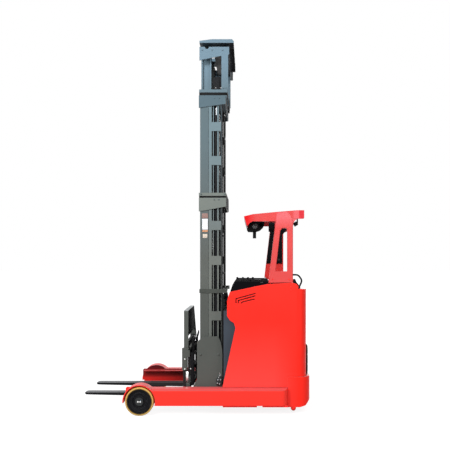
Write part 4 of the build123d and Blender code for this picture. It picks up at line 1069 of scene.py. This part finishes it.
def make_console_details():
    """Keys, display and end block of the console."""
    keys = bmesh.new()
    for y in KEY_YS:
        for x in KEY_XS:
            high = (x + KEY_SIZE[0], y + KEY_SIZE[1], KEY_ZS[1])
            rounded_box(keys, (x, y, KEY_ZS[0]), high, KEY_EDGE)
    rounded_box(keys, *KEY_STRIP)
    new_piece("console_keys", "chassis", "black_plastic", keys, KEY_GREY)
    screen = bmesh.new()
    rounded_box(screen, *SCREEN)
    new_piece("console_screen", "chassis", "black_plastic", screen, CLEAR_LENS)
    block = bmesh.new()
    rounded_box(block, *END_BLOCK)
    new_piece("console_end", "chassis", "black_plastic", block)


# Cushions: how far their sides are pulled in, how full they are at their sides, and their seams
PAD_STEPS = 40
PAD_PULL = 0.035
PAD_SIDE = 0.3
CROWN_SQUARE = 7
CROWN_ROUND = 0.4
SEAM_WIDTH = 0.035
SEAM_DEPTH = 0.16


def cushion(name, low, high, toward, seams):
    """A stuffed pad on a wall, crowned towards an axis, pulled in at its sides, with sewn seams."""
    low, high = Vector(low), Vector(high)
    middle = (low + high) / 2
    depth_axis = 0 if toward.x else 1
    across_axis = 1 - depth_axis
    out = toward[depth_axis]
    back = low[depth_axis] if out > 0 else high[depth_axis]
    deep = high[depth_axis] - low[depth_axis]
    half_across = (high[across_axis] - low[across_axis]) / 2
    half_high = (high.z - low.z) / 2
    mesh = bmesh.new()
    rows = []
    for i in range(PAD_STEPS + 1):
        v = 2 * i / PAD_STEPS - 1
        row = []
        for k in range(PAD_STEPS + 1):
            u = 2 * k / PAD_STEPS - 1
            crown = ((1 - abs(u) ** CROWN_SQUARE) * (1 - abs(v) ** CROWN_SQUARE)) ** CROWN_ROUND
            rise = deep * (PAD_SIDE + (1 - PAD_SIDE) * crown)
            for seam in seams:
                rise -= SEAM_DEPTH * deep * crown * math.exp(-(((v - seam) / SEAM_WIDTH) ** 2))
            across = half_across * u * (1 - PAD_PULL * (1 - v * v))
            point = Vector((0, 0, middle.z + half_high * v * (1 - PAD_PULL * (1 - u * u))))
            point[across_axis] = middle[across_axis] + across
            point[depth_axis] = back + out * rise
            row.append(mesh.verts.new(point))
        rows.append(row)
    for upper, lower in zip(rows, rows[1:]):
        for k in range(PAD_STEPS):
            mesh.faces.new((upper[k], upper[k + 1], lower[k + 1], lower[k]))
    rim = [*rows[0], *(row[-1] for row in rows[1:-1]), *reversed(rows[-1])]
    rim += [row[0] for row in reversed(rows[1:-1])]
    foot = []
    for vertex in rim:
        point = vertex.co.copy()
        point[depth_axis] = back
        foot.append(mesh.verts.new(point))
    for k in range(len(rim)):
        mesh.faces.new((rim[k - 1], rim[k], foot[k], foot[k - 1]))
    mesh.faces.new(foot)
    return new_piece(name, "chassis", "black_rubber", mesh, PAD_VINYL, 60)


# Pads: the wall pad's corners, and the places of the seams as parts of the half height
WALL_PAD_LOW = (0.85, 0.49, 0.9)
WALL_PAD_HIGH = (1.06, 0.529, 1.33)
REAR_SEAMS = (-0.33, 0.33)
WALL_SEAMS = (-0.5, 0.0, 0.5)


def make_pads():
    """The rear pad and the pad on the cell's wall."""
    low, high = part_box("rear_pad")
    rear = cushion("rear_cushion", low, high, Vector((1, 0, 0)), REAR_SEAMS)
    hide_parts("rear_pad")
    to_cell = Vector((0, -1, 0))
    wall = cushion("wall_cushion", WALL_PAD_LOW, WALL_PAD_HIGH, to_cell, WALL_SEAMS)
    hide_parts("back_pad")


# Black lining on the far guard frame's inner face, as painted shade: its outline's X and Z points,
# its Y values and its bolt
TRIM_OUTLINE = (
    (0.794, 1.553),
    (0.846, 1.99),
    (1.038, 1.99),
    (1.038, 1.946),
    (1.008, 1.934),
    (0.985, 1.905),
    (0.985, 1.553),
)
TRIM_YS = (0.474, 0.488)
TRIM_EDGE = 0.002
TRIM_BOLT_AT = (0.946, 0.474, 1.598)
TRIM_BOLT = 0.02


def make_frame_trim():
    """The black lining of the far guard frame, as painted shade, and its bolt."""
    mesh = bmesh.new()
    add_prism(mesh, TRIM_OUTLINE, TRIM_YS)
    round_edges(mesh, list(mesh.edges), TRIM_EDGE)
    trim = new_piece("frame_shade_lining", "chassis", "black_plastic", mesh)
    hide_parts("back_pad")
    bolt = bmesh.new()
    hex_bolt(bolt, TRIM_BOLT_AT, TO_NEAR, TRIM_BOLT)
    new_piece("trim_bolt", "chassis", "zinc_steel", bolt, KEY_GREY)


# Studs of the cell's floor mat: their profile, their first place and their pitch
STUD = ((0.009, 0.0), (0.008, 0.002), (0.005, 0.003))
FIRST_STUD = (0.815, 0.075, 0.262)
STUD_PITCH = 0.032
STUD_ROWS = 12
STUD_COLUMNS = 9


def make_platform_mat():
    """Round grip studs on the cell's floor mat."""
    mesh = bmesh.new()
    first_x, first_y, z = FIRST_STUD
    for row in range(STUD_ROWS):
        for column in range(STUD_COLUMNS):
            place = (first_x + STUD_PITCH * column, first_y + STUD_PITCH * row, z)
            lathe(mesh, STUD, place, (0, 0, 1), 8)
    new_piece("floor_studs", "chassis", "black_rubber", mesh)


# Bolts of the side panels: a row on both sides, and cylinder heads on the near one
PANEL_BOLTS = (((1.02,), PANEL_Y, (1.29, 1.324), 0.01),)
SOCKET_PLACES = ((0.83, -0.54, 1.4), (1.0, -0.54, 1.4))
SOCKET_RADIUS = 0.007


def make_panel_bolts():
    """Bolt heads on the side panels."""
    mesh = bmesh.new()
    bolt_rows(mesh, PANEL_BOLTS)
    for place in SOCKET_PLACES:
        socket_bolt(mesh, place, TO_NEAR, SOCKET_RADIUS)
    new_piece("panel_bolts", "chassis", "red_paint", mesh)


paint_nodes()
make_camera()
make_world()
make_floor()
make_wheel_bolts()
make_hub_rings()
make_mast_bolts()
make_mast_hoses()
make_band_pipes()
make_reach_fittings()
make_carriage_fasteners()
make_vent_shade()
make_blank_plates()
make_lamps()
make_console_details()
make_rear_bar_strips()
make_battery_edges()
make_cap_cheeks()
make_mast_fittings()
make_pads()
make_frame_trim()
make_platform_mat()
make_panel_bolts()
make_lights()

bpy.context.scene.view_settings.view_transform = "Standard"
